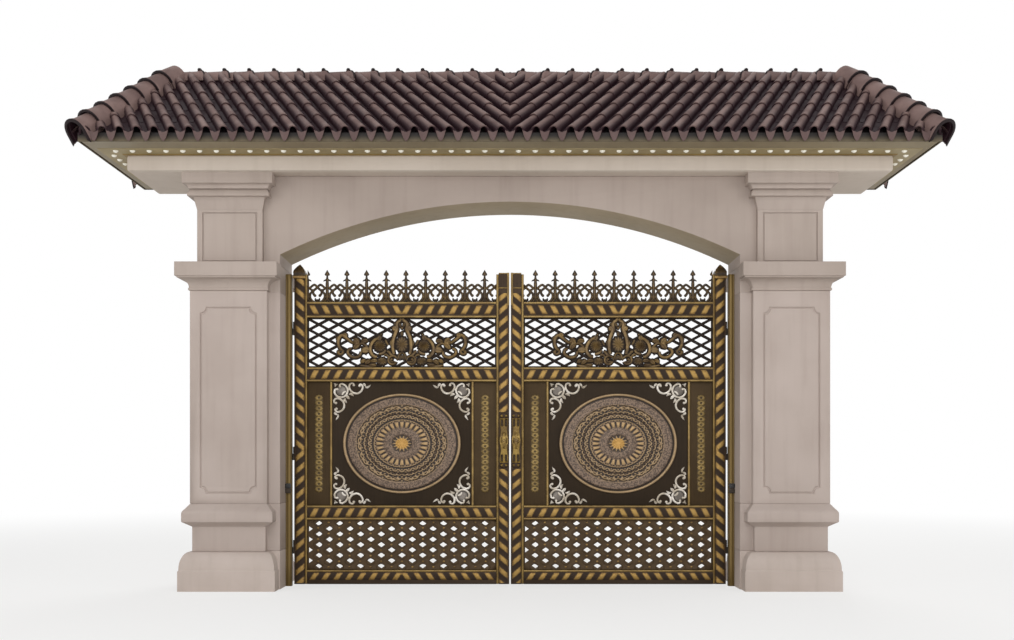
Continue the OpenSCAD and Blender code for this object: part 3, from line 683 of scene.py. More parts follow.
def tongues(places, along, out, drop=1.0):
    """Pointed plates that hang at places, a little dished.

    Across one v goes from -1 to 1: its upper edge is 0.030 + 0.034 * v * v, its lower edge
    0.064 * v * v + (0.028 * v * v - 0.042) * drop, and it is 0.009 * (1 - v * v) back from the line.
    """
    v = np.linspace(-1, 1, 9)
    top = 0.030 + 0.034 * v * v
    foot = 0.064 * v * v + (0.028 * v * v - 0.042) * drop
    height = np.stack([top, (top + foot) / 2, foot])[..., None]
    flat = TONGUE_HALF * v[:, None] * np.array(along) + height * np.array([0, 0, 1.0])
    front = places[:, None, None, :] + flat + 0.009 * (1 - v * v)[:, None] * np.array(out)
    return slab(front, front + np.array(out) * TONGUE_THICK)


long_x = np.arange(-COLUMNS // 2 + 1, COLUMNS // 2) * pitch
end_y = np.arange(-5, 6) * pitch
long_row = tongues(grid(long_x, -EAVE_Y - TONGUE_OUT, EAVE_Z), (1, 0, 0), (0, 1, 0))
end_row = tongues(grid(EAVE_X + TONGUE_OUT / 2, end_y, EAVE_Z), (0, 1, 0), (-1, 0, 0), 0.3)
roof("eave_tongues", gather(mirrored(long_row, 1), mirrored(end_row, 0)), 0.4)

deck_felt = Finish("deck_felt", roughness=0.9)
deck_felt.colour(deck_felt.noise(30.0), (34, 22, 27), (44, 30, 35))
for node in ("front_slope", "back_slope", "left_hip_slope", "right_hip_slope"):
    nodes[node].data.materials.clear()
    nodes[node].data.materials.append(deck_felt.material)
print("roof tiles", 2 * (2 * (COLUMNS // 2 + 5) + 12) * COURSES_UP * 2)


# %% [markdown]
# ## Soffit and its buttons
#
# The boards under the eaves are painted olive. A low fascia stands behind the tongues, painted darker
# towards its top as the painted shadow of the tiles, and a paler board with a gold bead runs round the
# cornice. A row of glazed buttons hangs from it, one for each tile column. Their near white glaze is
# also painted light, for the spots of sun that come through the tile ends. A button is an oval, half of
# it in the board.

# %% Soffit paints
def board_paint(name, light, dark, scale=2.2):
    """Brushed oil paint on boards: slow clouds of two tones and a fine tooth."""
    finish = Finish(name, roughness=0.6)
    finish.colour(finish.noise(scale, 4.0).rise(0.3, 0.7), light, dark)
    finish.bump(finish.noise(60.0, 2.0), 0.0008)
    return finish


soffit_paint = board_paint("soffit_paint", (140, 127, 101), (126, 113, 88))
trim_paint = board_paint("trim_paint", (162, 146, 107), (148, 132, 94), 4.0)
bead_paint = board_paint("bead_paint", (138, 114, 62), (120, 97, 50), 4.0)
fascia_shadow_paint = Finish("fascia_shadow_paint", roughness=0.7)
board_low, board_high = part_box("eave_board")
# Painted shadow: the fascia darkens towards its top, where the tiles overhang it.
height = fascia_shadow_paint.height() + fascia_shadow_paint.noise(12.0) * 0.02 - 0.01
fascia_shadow_paint.colour(height.rise(board_low.z - 0.02, board_low.z + 0.055), (100, 88, 66), (22, 15, 10))
fascia_shadow_paint.bump(fascia_shadow_paint.noise(60.0, 2.0), 0.0008)


# %% Soffit boards
def moulding(name, inner, finish, profile):
    """A hoop whose section, a list of (step out, height), is carried round a box's plan with mitres."""
    step, height = np.transpose(profile)
    signs = np.array([(1, 1), (-1, 1), (-1, -1), (1, -1)])[:, None]
    plan = signs * (np.array([inner.x, inner.y]) + step[:, None])
    skin = tube(grid(plan[..., 0], plan[..., 1], height + board_low.z), hoop=True)
    piece(name, skin, "portal", finish)


cornice_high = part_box("cornice")[1]
dressed("eave_board", soffit_paint, 0.004)
moulding("fascia", board_high, fascia_shadow_paint,
         [(0.012, -0.004), (0.020, -0.004), (0.020, 0.068), (0.012, 0.068)])
moulding("soffit_trim", cornice_high, trim_paint,
         [(-0.02, 0.002), (0.190, 0.002), (0.186, -0.004), (0.02, -0.004)])
moulding("soffit_bead", cornice_high, bead_paint,
         [(-0.02, 0.001), (0.026, 0.001), (0.030, -0.006), (0.024, -0.011), (-0.02, -0.011)])


# %% Buttons
BUTTON_R = 0.022
BUTTON_HALVES = (BUTTON_R * 1.15, BUTTON_R, 0.021)
BUTTON_INSET = 0.15
# Painted light: the buttons are glazed studs, and their near white colour also stands for spots of sun
# through the tile ends.
lit_button_glaze = Finish("lit_button_glaze", roughness=0.25)
lit_button_glaze.colour(lit_button_glaze.noise(40.0), (255, 253, 244), (250, 246, 228))
button_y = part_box("eave_buttons")[1].y - BUTTON_R
long_row = grid((np.arange(1, COLUMNS - 1) + 0.5) * pitch - EAVE_X, button_y, board_low.z)
end_row = grid(EAVE_X - BUTTON_INSET, np.arange(-3, 4) * pitch, board_low.z)
spots = np.concatenate([long_row, long_row * (1, -1, 1), end_row, end_row * (-1, 1, 1)])
piece("glazed_buttons", ball(spots, BUTTON_HALVES, 10, 6), "portal", lit_button_glaze,
      ["eave_buttons"])


# %% [markdown]
# ## One relief, four faces
#
# A leaf carries the same ornament on both faces, and the left leaf mirrors the right. So every ornament
# is worked out once, as relief on the front of the right leaf: flat points (x, z), and how far each one
# stands out. Mirrored copies make the rest, as a foundry would from one pattern.

# %% Relief helpers
def metres(points):
    """Flat points in metres. Text gives them in millimetres, as "12,3 14,5"."""
    if isinstance(points, str):
        return np.array([point.split(",") for point in points.split()], float) / 1000
    return np.array(points, float)


def flow(points, count=20):
    """A smooth path of count points through a few.

    It is a cubic from each point to the next, and the slope at a point is half the step between its
    neighbours.
    """
    points = metres(points)
    slope = np.gradient(points, axis=0)
    t = np.linspace(0, len(points) - 1, count)
    first = np.minimum(t.astype(int), len(points) - 2)
    u = (t - first)[:, None]
    near = (2 * u ** 3 - 3 * u ** 2 + 1) * points[first] + (u ** 3 - 2 * u ** 2 + u) * slope[first]
    far = (3 * u ** 2 - 2 * u ** 3) * points[first + 1] + (u ** 3 - u ** 2) * slope[first + 1]
    return near + far


def polar(reach, angle):
    """Flat points at a distance and an angle."""
    return grid(reach * np.cos(angle), reach * np.sin(angle))


def turned(centre, radius, start, end, count=20, last=None):
    """An arc from one angle to another, in degrees, whose radius goes from radius to last."""
    angle = np.radians(np.linspace(start, end, count))
    reach = np.linspace(radius, radius if last is None else last, count)
    return np.array(centre, float) + polar(reach, angle)


def raised(flat, out):
    """Flat points with how far each stands out."""
    return np.concatenate([flat, np.broadcast_to(out, flat.shape[:-1])[..., None]], -1)


LOW_RELIEF = 0.004


def strand(path, half, height, crease=0.0, sink=0.002):
    """A bar along a flat path, as relief.

    Across it v goes from -1 to 1, and it stands out by height * sqrt(1 - v * v), less
    height * crease * (1 - 3 * |v|) where |v| < 1/3, for the midrib of a leaf. Half is its half width, one
    number or one for each point. A section has few points where it is low, and most with a crease.
    """
    step = np.gradient(path, axis=-2)
    step /= np.linalg.norm(step, axis=-1, keepdims=True)
    side = grid(-step[..., 1], step[..., 0])
    v = np.array([-1, -0.7, -0.3, 0, 0.3, 0.7, 1] if crease else [-1, -0.7, 0, 0.7, 1])
    if height < LOW_RELIEF:
        v = np.array([-1.0, 0, 1])
    out = height * (np.sqrt(1 - v * v) - crease * np.maximum(0, 1 - 3 * np.abs(v)))
    half = np.broadcast_to(half, path.shape[:-1])[..., None, None]
    flat = path[..., None, :] + side[..., None, :] * np.append(v, 0)[:, None] * half
    return tube(raised(flat, np.append(out, -sink)))


def sprig(points, half, height, crease=0.35, count=14, power=0.7):
    """A leaf along a smooth path, with a half width of half * sin(pi * s) ** power at share s of it."""
    share = np.maximum(0.12, np.sin(np.pi * np.linspace(0, 1, count)) ** power)
    return strand(flow(points, count), half * share, height, crease)


def rosette(centres, radii, height, petals=0, depth=0.25, around=24, sink=0.002, hollow=0.0):
    """Low round bosses, as relief.

    At share r of the radius and angle a, the radius is times 1 + depth * r * (cos(petals * a) - 1) / 2,
    and the face stands out by height * (sqrt(1 - r * r) - hollow * (1 - 2.2 * r)), the last where that
    is over 0.
    """
    a = round_turn(around)
    r = np.array([1, 1, 0.92, 0.72, 0.45, 0.3, 0.12] if hollow else [1, 1, 0.9, 0.6, 0.25])[:, None]
    out = height * (np.sqrt(1 - r * r) - hollow * np.maximum(0, 1 - 2.2 * r))
    out[0] = -sink
    reach = r * (1 + depth * (np.cos(petals * a) - 1) / 2 * (petals > 0) * r)
    return tube(raised(metres(centres).reshape(-1, 1, 1, 2) + polar(reach, a) * np.array(radii), out))


def stood(skin, surface, origin=(0, 0)):
    """Relief points (x, z, out) as points on the front of the right leaf."""
    x, z, out = skin[0].T
    return grid(origin[0] + x, -surface - out, origin[1] + z), skin[1]


def on_leaves(name, skin, slot, finish, replaces=(), bend=35, **marks):
    """A skin of the right leaf's front on both faces of both leaves."""
    marks = {mark: np.tile(np.full(len(skin[0]), values), 2) for mark, values in marks.items()}
    pair(name, mirrored(skin, 1), "{side}_leaf", finish, replaces, marks, bend=bend)
    print(name, "triangles a leaf", 4 * len(skin[1]))


def crest(skin, surface, height):
    """The mark gilt: 0 where relief meets its ground, and 1 at its full height."""
    return np.clip((np.abs(skin[0][:, 1]) - surface) / height, 0, 1)


# %% Metal finishes
def cast_bronze(name, light, dark, stretch, metallic=0.6, specular=0.5):
    """A dark bronze coat brushed on cast metal: streaks, slow clouds, and a gloss that follows them."""
    finish = Finish(name, metallic=metallic)
    streaks = finish.noise(220.0, stretch=stretch)
    clouds = finish.noise(5.0).rise(0.3, 0.7)
    finish.colour(streaks * 0.7 + clouds * 0.3, light, dark)
    finish.set("Roughness", 0.48 + streaks * 0.22)
    finish.set("Specular IOR Level", specular)
    finish.bump(streaks * 0.6 + finish.noise(90.0, 2.0) * 0.4, 0.0005)
    return finish


def gilded(name, ground, pale, deep, low=0.15, high=0.7, metallic=0.45):
    """Gold wiped over a dark coat: the mark gilt says where the brush reached, and clouds wear it."""
    finish = Finish(name, metallic=metallic)
    wear = finish.noise(38.0)
    reach = (finish.mark("gilt") + wear * 0.4 - 0.2).rise(low, high)
    finish.colour(reach, ground, finish.mix(finish.noise(11.0).rise(0.35, 0.65), pale, deep))
    finish.set("Roughness", 0.52 - reach * 0.14)
    finish.bump(finish.noise(150.0, 2.0), 0.0006, 0.45)
    return finish


UPRIGHT = (1, 1, 0.015)
dark_bronze = cast_bronze("dark_bronze", (66, 50, 34), (47, 35, 24), (1, 1, 0.02))
rail_bronze = cast_bronze("rail_bronze", (62, 47, 32), (45, 34, 23), (0.02, 1, 1))
panel_bronze = cast_bronze("panel_bronze", (50, 38, 24), (35, 26, 16), UPRIGHT, 0.3, 0.2)
side_bronze = cast_bronze("side_bronze", (76, 60, 38), (55, 42, 25), UPRIGHT, 0.3, 0.2)
gilt_edge = gilded("gilt_edge", (92, 72, 40), (136, 111, 60), (110, 87, 44), 0.0, 0.5)
gilt_casting = gilded("gilt_casting", (40, 29, 18), (154, 122, 68), (110, 84, 42), 0.1, 0.75)


# %% [markdown]
# ## Frame, ropes and gilt edges
#
# Stiles and rails are square bars with a band of rope cast on each face, half of its strands gilded. The
# twist turns over at the middle of a rail and at a point on each stile. A number called turn counts the
# strands along the band. The surface and the gilding both follow it, so no paint can slip off its strand.

# %% Rope finish
rope_gilding = Finish("rope_gilding", metallic=0.6)
turn = rope_gilding.mark("turn")
wear = rope_gilding.noise(60.0)
strand_gilt = ((turn * (2 * math.pi) + math.pi / 2).sine() + wear * 0.7 - 0.35).rise(-0.25, 0.75)
across = rope_gilding.mark("across")
lit = (1 - across * across + wear * 1.4 - 0.7).rise(-0.1, 0.9)
rope_gilding.colour(strand_gilt, (46, 33, 22), rope_gilding.mix(lit, (96, 70, 33), (152, 121, 64)))
rope_gilding.set("Roughness", 0.62 - strand_gilt * 0.14)
rope_gilding.bump(rope_gilding.noise(140.0, 2.0), 0.0006)


# %% Leaf measures
leaf_low, leaf_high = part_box("right_stiles")
field_low, field_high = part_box("right_rails")
panel_low, panel_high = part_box("right_centre_panel")
lattice_low, lattice_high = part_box("right_upper_lattice")
grille_low, grille_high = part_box("right_lower_lattice")
handle_low, handle_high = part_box("right_handle")
LEAF_Y = leaf_high.y
PLATE_Y = 0.005
MID_X = (field_low.x + field_high.x) / 2
HANDLE_Z = (handle_low.z + handle_high.z) / 2
BEAD_W = 0.022
STILE_W = field_low.x - BEAD_W - leaf_low.x
MULLIONS = (0.334, 1.596)
MULLION_HALF = 0.011
RAILS = ((field_low.z, grille_low.z), (grille_high.z, panel_low.z), (panel_high.z, lattice_low.z),
         (lattice_high.z, field_high.z))
print("leaf", round(leaf_low.x, 3), round(leaf_high.x, 3), "stile width", round(STILE_W, 3))


# %% Ropes
ROPE_H = 0.007
ROPE_HALF = 0.040
STILE_PITCH = 0.113
RAIL_PITCH = (field_high.x - field_low.x) / 16
HINGE_FOLD = 1.21
ROPE_FOOT = 0.03
ROPE_TOP = 2.61
HANDLE_GAP = 0.004


def rope(start, end, fold, middle, half, pitch, slant, upright):
    """A band of twisted strands, as relief, with its marks turn and across.

    At s along the band and t from -1 to 1 across it, turn = |s - fold| / pitch - 0.4 + slant * t, and
    the band stands out by ROPE_H * (1 - t ** 4) * (0.45 + 0.55 * cos(pi * turn) ** 2).
    """
    s = np.linspace(start, end, int((end - start) / pitch * 7) + 2)[:, None]
    t = np.array([-1, -0.9, -0.5, 0, 0.5, 0.9, 1])
    turn = np.abs(s - fold) / pitch - 0.4 + slant * t
    out = ROPE_H * (1 - t ** 4) * (0.45 + 0.55 * np.cos(np.pi * turn) ** 2)
    flat = grid(middle + half * t, s) if upright else grid(s, middle + half * t)
    return slab(raised(flat, out), raised(flat, -0.001)), np.tile(grid(turn, t).reshape(-1, 2), (2, 1))


hinge_x = leaf_high.x - 0.012 - ROPE_HALF
meeting_x = leaf_low.x + STILE_W - ROPE_HALF - 0.002
ropes = [rope(low, high, fold, x, ROPE_HALF, STILE_PITCH, slant, True) for low, high, fold, x, slant in (
    (ROPE_FOOT, leaf_high.z - ROPE_FOOT, HINGE_FOLD, hinge_x, -0.29),
    (ROPE_FOOT, handle_low.z - HANDLE_GAP, HANDLE_Z, meeting_x, 0.29),
    (handle_high.z + HANDLE_GAP, ROPE_TOP, HANDLE_Z, meeting_x, 0.29))]
for (low, high), half, slant in zip(RAILS, (0.033, 0.041, 0.041, 0.041), (0.2, 0.2, 0.2, -0.2)):
    middle = low + 0.070 if low == field_low.z else (low + high) / 2
    ropes.append(rope(field_low.x, field_high.x, MID_X, middle, half, RAIL_PITCH, slant, False))
bands, marks = zip(*ropes)
turn, across = np.concatenate(marks).T
on_leaves("ropes", stood(gather(*bands), LEAF_Y), "antique_gold", rope_gilding, turn=turn, across=across)


# %% Frame and edge lines
for side in ("left", "right"):
    dressed(f"{side}_stiles", dark_bronze, 0.003)
    dressed(f"{side}_rails", rail_bronze, 0.003)
    plate = dressed(f"{side}_centre_panel", panel_bronze, 0.003)
    plate.data.materials.append(side_bronze.material)
    for face in plate.data.polygons:
        inside = MULLIONS[0] - MULLION_HALF < abs(face.center.x) < MULLIONS[1] + MULLION_HALF
        face.material_index = int(not inside)


def line(x, z, half, height=0.006):
    """A half round moulding, along x or z: that one is its two ends, and the other is one number."""
    return strand(grid(x, z), half, height)


EDGE = 0.009
GROUND_LINE = 0.05
TOP_BLOCK = (2.503, 2.657)
edges = [line((field_low.x, field_high.x), z, EDGE)
         for low, high in RAILS for z in (low + EDGE, high - EDGE) if z > GROUND_LINE]
for z in (leaf_high.z - 0.006, TOP_BLOCK[1]):
    edges.append(line((leaf_low.x, leaf_low.x + STILE_W), z, 0.005, 0.004))
edges.append(line(leaf_low.x + 0.010, (TOP_BLOCK[0], leaf_high.z), 0.010, 0.009))
beads = [line(x, (leaf_low.z + 0.004, leaf_high.z - 0.016), 0.0108, 0.010)
         for x in (field_low.x - BEAD_W / 2, field_high.x + BEAD_W / 2)]
mullions = [line(x, (panel_low.z, panel_high.z), 0.010) for x in MULLIONS]
skin = gather(stood(gather(*edges), LEAF_Y), stood(gather(*beads), leaf_high.y - 0.008),
              stood(gather(*mullions), panel_high.y))
on_leaves("edge_lines", skin, "antique_gold", gilt_edge, gilt=0.6)


# %% [markdown]
# ## Lattices and finials
#
# The lattices are cast plates whose holes the frame already has, so they are copied. The upper one keeps
# its sharp bars, under a low half round rib along each. Every crossing of the lower one has a small gilt
# bead, and each hole stands in a raised lip.

# %% Lattices
lattice_bronze = cast_bronze("lattice_bronze", (36, 26, 17), (24, 16, 11), (1, 1, 0.1), 0.2, 0.2)
grille_bronze = cast_bronze("grille_bronze", (82, 64, 42), (62, 48, 31), (1, 1, 0.1))
for side in ("left", "right"):
    dressed(f"{side}_upper_lattice", lattice_bronze, 0)
    dressed(f"{side}_lower_lattice", grille_bronze, 0.0025)

BORDER = 0.012
CELLS_X, CELLS_Z = 19, 9
RIB_HALF, RIB_H = 0.0122, 0.004
cell = np.array([(field_high.x - field_low.x - 2 * BORDER) / CELLS_X,
                 (lattice_high.z - lattice_low.z - 2 * BORDER) / CELLS_Z])
foot = np.array([field_low.x + BORDER, lattice_low.z + BORDER])
ribs = []
for start in range(1 - CELLS_X, CELLS_X + CELLS_Z, 2):
    for way in (1, -1):
        across = np.clip([-start * way, (CELLS_Z - start) * way], 0, CELLS_X)
        if across[0] != across[1]:
            ribs.append(strand(grid(across, start + way * across) * cell + foot, RIB_HALF, RIB_H))
on_leaves("lattice_ribs", stood(gather(*ribs), lattice_high.y), "bronze", lattice_bronze)

GRILLE_COLUMNS = 18
GRILLE_ROWS = 9
column, row = np.meshgrid(np.arange(1, GRILLE_COLUMNS), np.arange(GRILLE_ROWS))
crossings = grid(grille_low.x + column * (grille_high.x - grille_low.x) / GRILLE_COLUMNS,
                 grille_low.z + (row + 0.5) * (grille_high.z - grille_low.z) / GRILLE_ROWS)
solid = (column + row) % 2 == 0


def lips(centres, half_x, half_z, half, height):
    """Hoops round lens shaped holes: (half_x * c * |c| ** 0.25, half_z * s * |s| ** 0.25) for an angle's
    cosine c and sine s, with a half round section."""
    c, s = polar(1, round_turn(16)).T
    outline = grid(half_x * c * np.abs(c) ** 0.25, half_z * s * np.abs(s) ** 0.25)
    reach = 1 + np.array([-1, 0, 1, 0.9]) * half / np.linalg.norm(outline, axis=1, keepdims=True)
    flat = centres[:, None, None, :] + reach[:, :, None] * outline[:, None, :]
    return tube(raised(flat, np.array([-0.001, height, 0.0, -0.001])), hoop=True)


skin = stood(rosette(crossings[solid], (0.011, 0.0085), 0.005, around=8), grille_high.y)
on_leaves("grille_beads", skin, "antique_gold", gilt_casting, gilt=0.62)
skin = stood(lips(crossings[~solid], 0.040, 0.030, 0.0045, 0.003), grille_high.y)
on_leaves("hole_lips", skin, "bronze", grille_bronze)


# %% Finials
FINIAL_X = leaf_high.x - STILE_W / 2
PYRAMID_FOOT = 2.798
share = np.linspace(0, 1, 10)
pyramid = grid(0.050 * (1 - share ** 1.45) + 0.002,
               PYRAMID_FOOT + (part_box("right_finials")[1].z - PYRAMID_FOOT) * share)
mouldings = metres("48,2738 54,2740 56.5,2745 56.5,2757 53.5,2762 51.5,2766 51.5,2790 54,2793 54,2796")
half, z = np.concatenate([mouldings, pyramid]).T[:, :, None]
side_x = np.array([-1, -0.9, 0.9, 1, 1, 1, 1, 0.9, -0.9, -1, -1, -1])
skin = tube(grid(FINIAL_X + half * side_x, half * np.roll(side_x, 3), z))
GILT_AT = ((2.738, 0.5), (2.745, 0.62), (2.758, 0.62), (2.766, 0.2), (2.790, 0.2), (2.794, 0.4),
           (2.80, 0.24), (2.87, 0.4))
pair("finial", skin, "{side}_leaf", gilt_casting, ["finials"],
     {"gilt": np.interp(skin[0][:, 2], *np.transpose(GILT_AT))})


# %% [markdown]
# ## Cresting
#
# Spears stand on the top rail, tied by thin scrolls. A spear is a stack of ovals whose half width is
# read from a short table of heights. Between two spears, one strand leaves the left spear, droops and
# curls by the other side; its mirrored copy crosses it. Arcs below close a round opening.

# %% Spears and scrolls
CREST_Z = field_high.z
SPEARS = 10
SPEAR_PITCH = 0.17575
FIRST_SPEAR = field_high.x - 0.174 + SPEAR_PITCH
SPEAR_Y = 0.0135
ROD = 0.0116
spear_x = FIRST_SPEAR - np.arange(SPEARS) * SPEAR_PITCH
spear_x = spear_x[(spear_x > field_low.x) & (spear_x < field_high.x + 0.01)]
height, half = metres(
    "-4,10 4,10 10,8.5 22,8.5 34,16.5 55,18 85,15.5 120,13.5 150,15.5 172,15 184,12.5 196,18 "
    "205,16.5 214,10 236,8 239.5,19.5 245,23.5 254,22 263,16.5 272,10.5 281,6 289,1").T[:, :, None]
c, s = polar(1, round_turn(12)).T
spear = grid(half * c, np.minimum(half, SPEAR_Y) * 0.8 * s, height + CREST_Z)
spears = tube(spear + grid(spear_x, 0, 0)[:, None, None])


def rod(points, count, start=1.0, end=1.0):
    """A thin bar through a few points, whose half width goes from start to end, times ROD."""
    return strand(flow(points, count), ROD * np.linspace(start, end, count), ROD, sink=0.001)


def bulb(centre, radius):
    """A round end of a rod."""
    return rosette(centre, radius, ROD * 1.25, around=10, sink=0.001)


half_bay = gather(
    rod("-70,124 -56,138 -38,152 -24,156 -10,145 0,134 16,119 32,106 39,91 34,74 23,60", 25, 0.9),
    rod("34,106 50,110 70,123", 6, 1.0, 0.8),
    rod("-36,110 -48,95 -61,79 -66,60 -64,40 -54,22 -40,8 -24,0", 17, 0.9),
    rod([(-SPEAR_PITCH / 2, 0.034), (-0.078, 0.024), (-0.069, 0.010), (-0.060, -0.002)], 6, 0.8),
    bulb("22,60", 0.0135), bulb("-67,127", 0.013), bulb("-68,71", 0.012), bulb("-70,46", 0.012),
    sprig("-6,0 -15,18 -20,40", 0.0105, 0.007, count=8))
bay = gather(mirrored(half_bay, 0), sprig("0,-2 0,14 0,30", 0.011, 0.008, count=8), bulb("0,134", 0.0085))
wings = mirrored(sprig("0,194 16,198 36,187", 0.0068, 0.006, count=9, power=0.5), 0)


def repeated(skin, places):
    """Copies of a skin at each place along x."""
    points = skin[0] + grid(places, 0, 0)[:, None]
    starts = np.arange(len(places))[:, None, None] * len(skin[0])
    return points.reshape(-1, 3), (skin[1] + starts).reshape(-1, 4)


relief = gather(repeated(bay, spear_x - SPEAR_PITCH / 2), repeated(wings, spear_x))
skin = gather(mirrored(stood(relief, -0.0005, (0, CREST_Z)), 1), spears)
cuts = [((field_low.x, 0, 0), (-1, 0, 0)), ((field_high.x, 0, 0), (1, 0, 0))]
pair("crest", skin, "{side}_leaf", gilt_casting, ["cresting"],
     {"gilt": crest(skin, 0, 0.0115) * 0.5 - 0.16}, cuts)
print("cresting triangles a leaf", 2 * len(skin[1]), "spears", len(spear_x))


# %% [markdown]
# ## Medallion
#
# The oval medallion is one height map on rings: every band of its pattern is a formula of the share r of
# the radius and the angle. The map is scaled to the oval at the end, so every band stays even. Three
# marks, gilt, warm and star, carry the colours of the bands from the same formulas.

# %% Bands and strokes
def step_up(value, low, high):
    """0 below low, 1 above high, and a smooth step between."""
    share = np.clip((value - low) / (high - low), 0, 1)
    return share * share * (3 - 2 * share)


def band(r, low, high, soft=0.006):
    """1 inside a ring from low to high, with soft edges."""
    return step_up(r, low - soft, low + soft) * (1 - step_up(r, high - soft, high + soft))


def stroke(distance, half):
    """The height of a stroke at a distance from its middle line."""
    return np.sqrt(np.clip(1 - (distance / half) ** 2, 0, 1))


def hump(r, low, high):
    """A half round ring from low to high."""
    return stroke(2 * r - low - high, high - low)


def repeats(count, shift=0.0):
    """The place within one of count equal sectors, from -0.5 to 0.5."""
    turn = angle * count / (2 * np.pi) + shift
    return turn - np.round(turn)


def nearest(x, y, arches, dots):
    """How far (x, y) is from the nearest arch or dot, in units of its half width.

    An arch is y = top - bend * (x - at) ** 2, where x is within reach of at.
    """
    found = [np.hypot(x - at_x, y - at_y) / half for at_x, at_y, half in dots]
    for at, top, bend, reach, half in arches:
        slope = 2 * bend * (x - at)
        off = np.abs(y - top + bend * (x - at) ** 2) / np.sqrt(1 + slope * slope)
        found.append(np.hypot(off, np.maximum(0, np.abs(x - at) - reach)) / half)
    return np.minimum.reduce(found)


# %% Medallion height map
ROUND = 336
SPANS = ((0, 0.10, 3), (0.10, 0.18, 8), (0.18, 0.33, 7), (0.33, 0.44, 8), (0.44, 0.60, 15), (0.60, 0.775, 20))
OUTER_ROWS = (0.79, 0.805, 0.82, 0.845, 0.86, 0.875, 0.90, 0.915, 0.925, 0.94, 0.95, 0.965, 0.98, 0.992, 1.0)
rows = np.unique(np.concatenate([*[np.linspace(*span) for span in SPANS], OUTER_ROWS]))[1:]
r, angle = np.meshgrid(rows, round_turn(ROUND), indexing="ij")

outer = band(r, 0.605, 0.765, 0.003)
outer_near = nearest(
    np.abs(repeats(14)) * 3.97, (r - 0.685) / 0.080,
    [(0.80, 0.66, 0.55, 0.62, 0.13), (0.62, 0.14, -0.75, 0.50, 0.12), (1.55, 0.30, 1.6, 0.34, 0.12),
     (1.25, -0.62, 0.7, 0.55, 0.12), (0.30, -0.52, 1.4, 0.32, 0.12)],
    [(0.0, 0.72, 0.16), (1.98, 0.78, 0.16), (1.98, -0.22, 0.17), (1.10, -0.12, 0.15), (0.0, -0.1, 0.13),
     (0.72, -0.82, 0.12)])
inner = band(r, 0.448, 0.592, 0.003)
inner_near = nearest(
    np.abs(repeats(28)) * 1.62, (r - 0.520) / 0.072,
    [(0.0, 0.62, 1.5, 0.48, 0.15), (0.81, 0.05, -1.4, 0.40, 0.14), (0.35, -0.66, 1.2, 0.34, 0.13)],
    [(0.0, 0.02, 0.17), (0.81, 0.74, 0.15)])
near = np.where(r > 0.598, outer_near, inner_near) / 1.3
motif = (outer + inner) * stroke(near, 1)
shade = (outer + inner) * band(near, 0.95, 2.1, 0.2)

rim = hump(r, 0.945, 1.0)
groove = hump(r, 0.918, 0.947)
plain = band(r, 0.785, 0.918)
beading = plain * (stroke(r - 0.875, 0.010) * (np.abs(repeats(112)) < 0.3)
                   + stroke(r - 0.832, 0.008) * (np.abs(repeats(56, 0.5)) < 0.34))
thin = hump(r, 0.765, 0.787)
threads = hump(r, 0.592, 0.606) + hump(r, 0.436, 0.449)
u, w = np.abs(repeats(28)), (r - 0.378) / 0.052
wedge = step_up(0.30 + 0.06 * w - u, -0.02, 0.06) * band(w, -0.92, 0.92, 0.1)
dark_wedge = band(r, 0.328, 0.434) * (1 - step_up(0.40 - u, -0.02, 0.04))
ring = hump(r, 0.305, 0.325)
disc = band(r, 0.172, 0.303)
u = np.abs(repeats(14)) * 2
core = 1 - step_up(r, 0.106, 0.112)
ray = np.maximum(core, step_up(0.74 * (0.172 - r) / 0.062 - u, -0.04, 0.08))
ray_shade = band(r, 0.0, 0.172) * (1 - ray)
ridge = np.clip(1 - u, 0, 1) * np.clip(r / 0.1, 0, 1)

height = 0.34 + 0.66 * rim + 0.20 * plain + 0.10 * beading + 0.24 * thin + 0.34 * motif - 0.12 * shade
height += 0.20 * threads + 0.26 * wedge - 0.08 * dark_wedge + 0.24 * ring + 0.20 * disc
height += ray * (0.24 + 0.24 * ridge) - 0.18 * groove
gilt = 0.46 * band(r, 0.172, 0.785) + 0.24 * ray_shade + rim + plain * 0.62 + thin * 0.3 + motif * 0.75
gilt += threads * 0.2 + (wedge - dark_wedge) * 0.5 + ring * 0.2 + disc * 0.15 - groove + ray - shade * 0.75
warm = 1 - rim - motif * 0.9 - wedge - ray - ring * 0.4 - thin * 0.4
star = core + 0.2 * wedge


# %% Medallion
medal_low, medal_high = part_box("right_medallion")
MEDAL_HALF = np.array([medal_high.x - medal_low.x, medal_high.z - medal_low.z]) / 2
MEDAL_MIDDLE = ((medal_low.x + medal_high.x) / 2, (medal_low.z + medal_high.z) / 2)
MEDAL_GROUND = panel_high.y - 0.010
rings = raised(polar(r, angle) * MEDAL_HALF, height * (medal_high.y - MEDAL_GROUND))
skin = stood(tube(np.concatenate([rings, rings[-1:] * (1, 1, 0)])), MEDAL_GROUND, MEDAL_MIDDLE)
marks = {}
for name, mark in {"gilt": gilt, "warm": warm, "star": star}.items():
    mark = np.clip(mark, 0, 1)
    marks[name] = np.concatenate([0 * mark[:1] + mark[:1].mean(), mark, mark[-1:], mark[-1:]]).ravel()

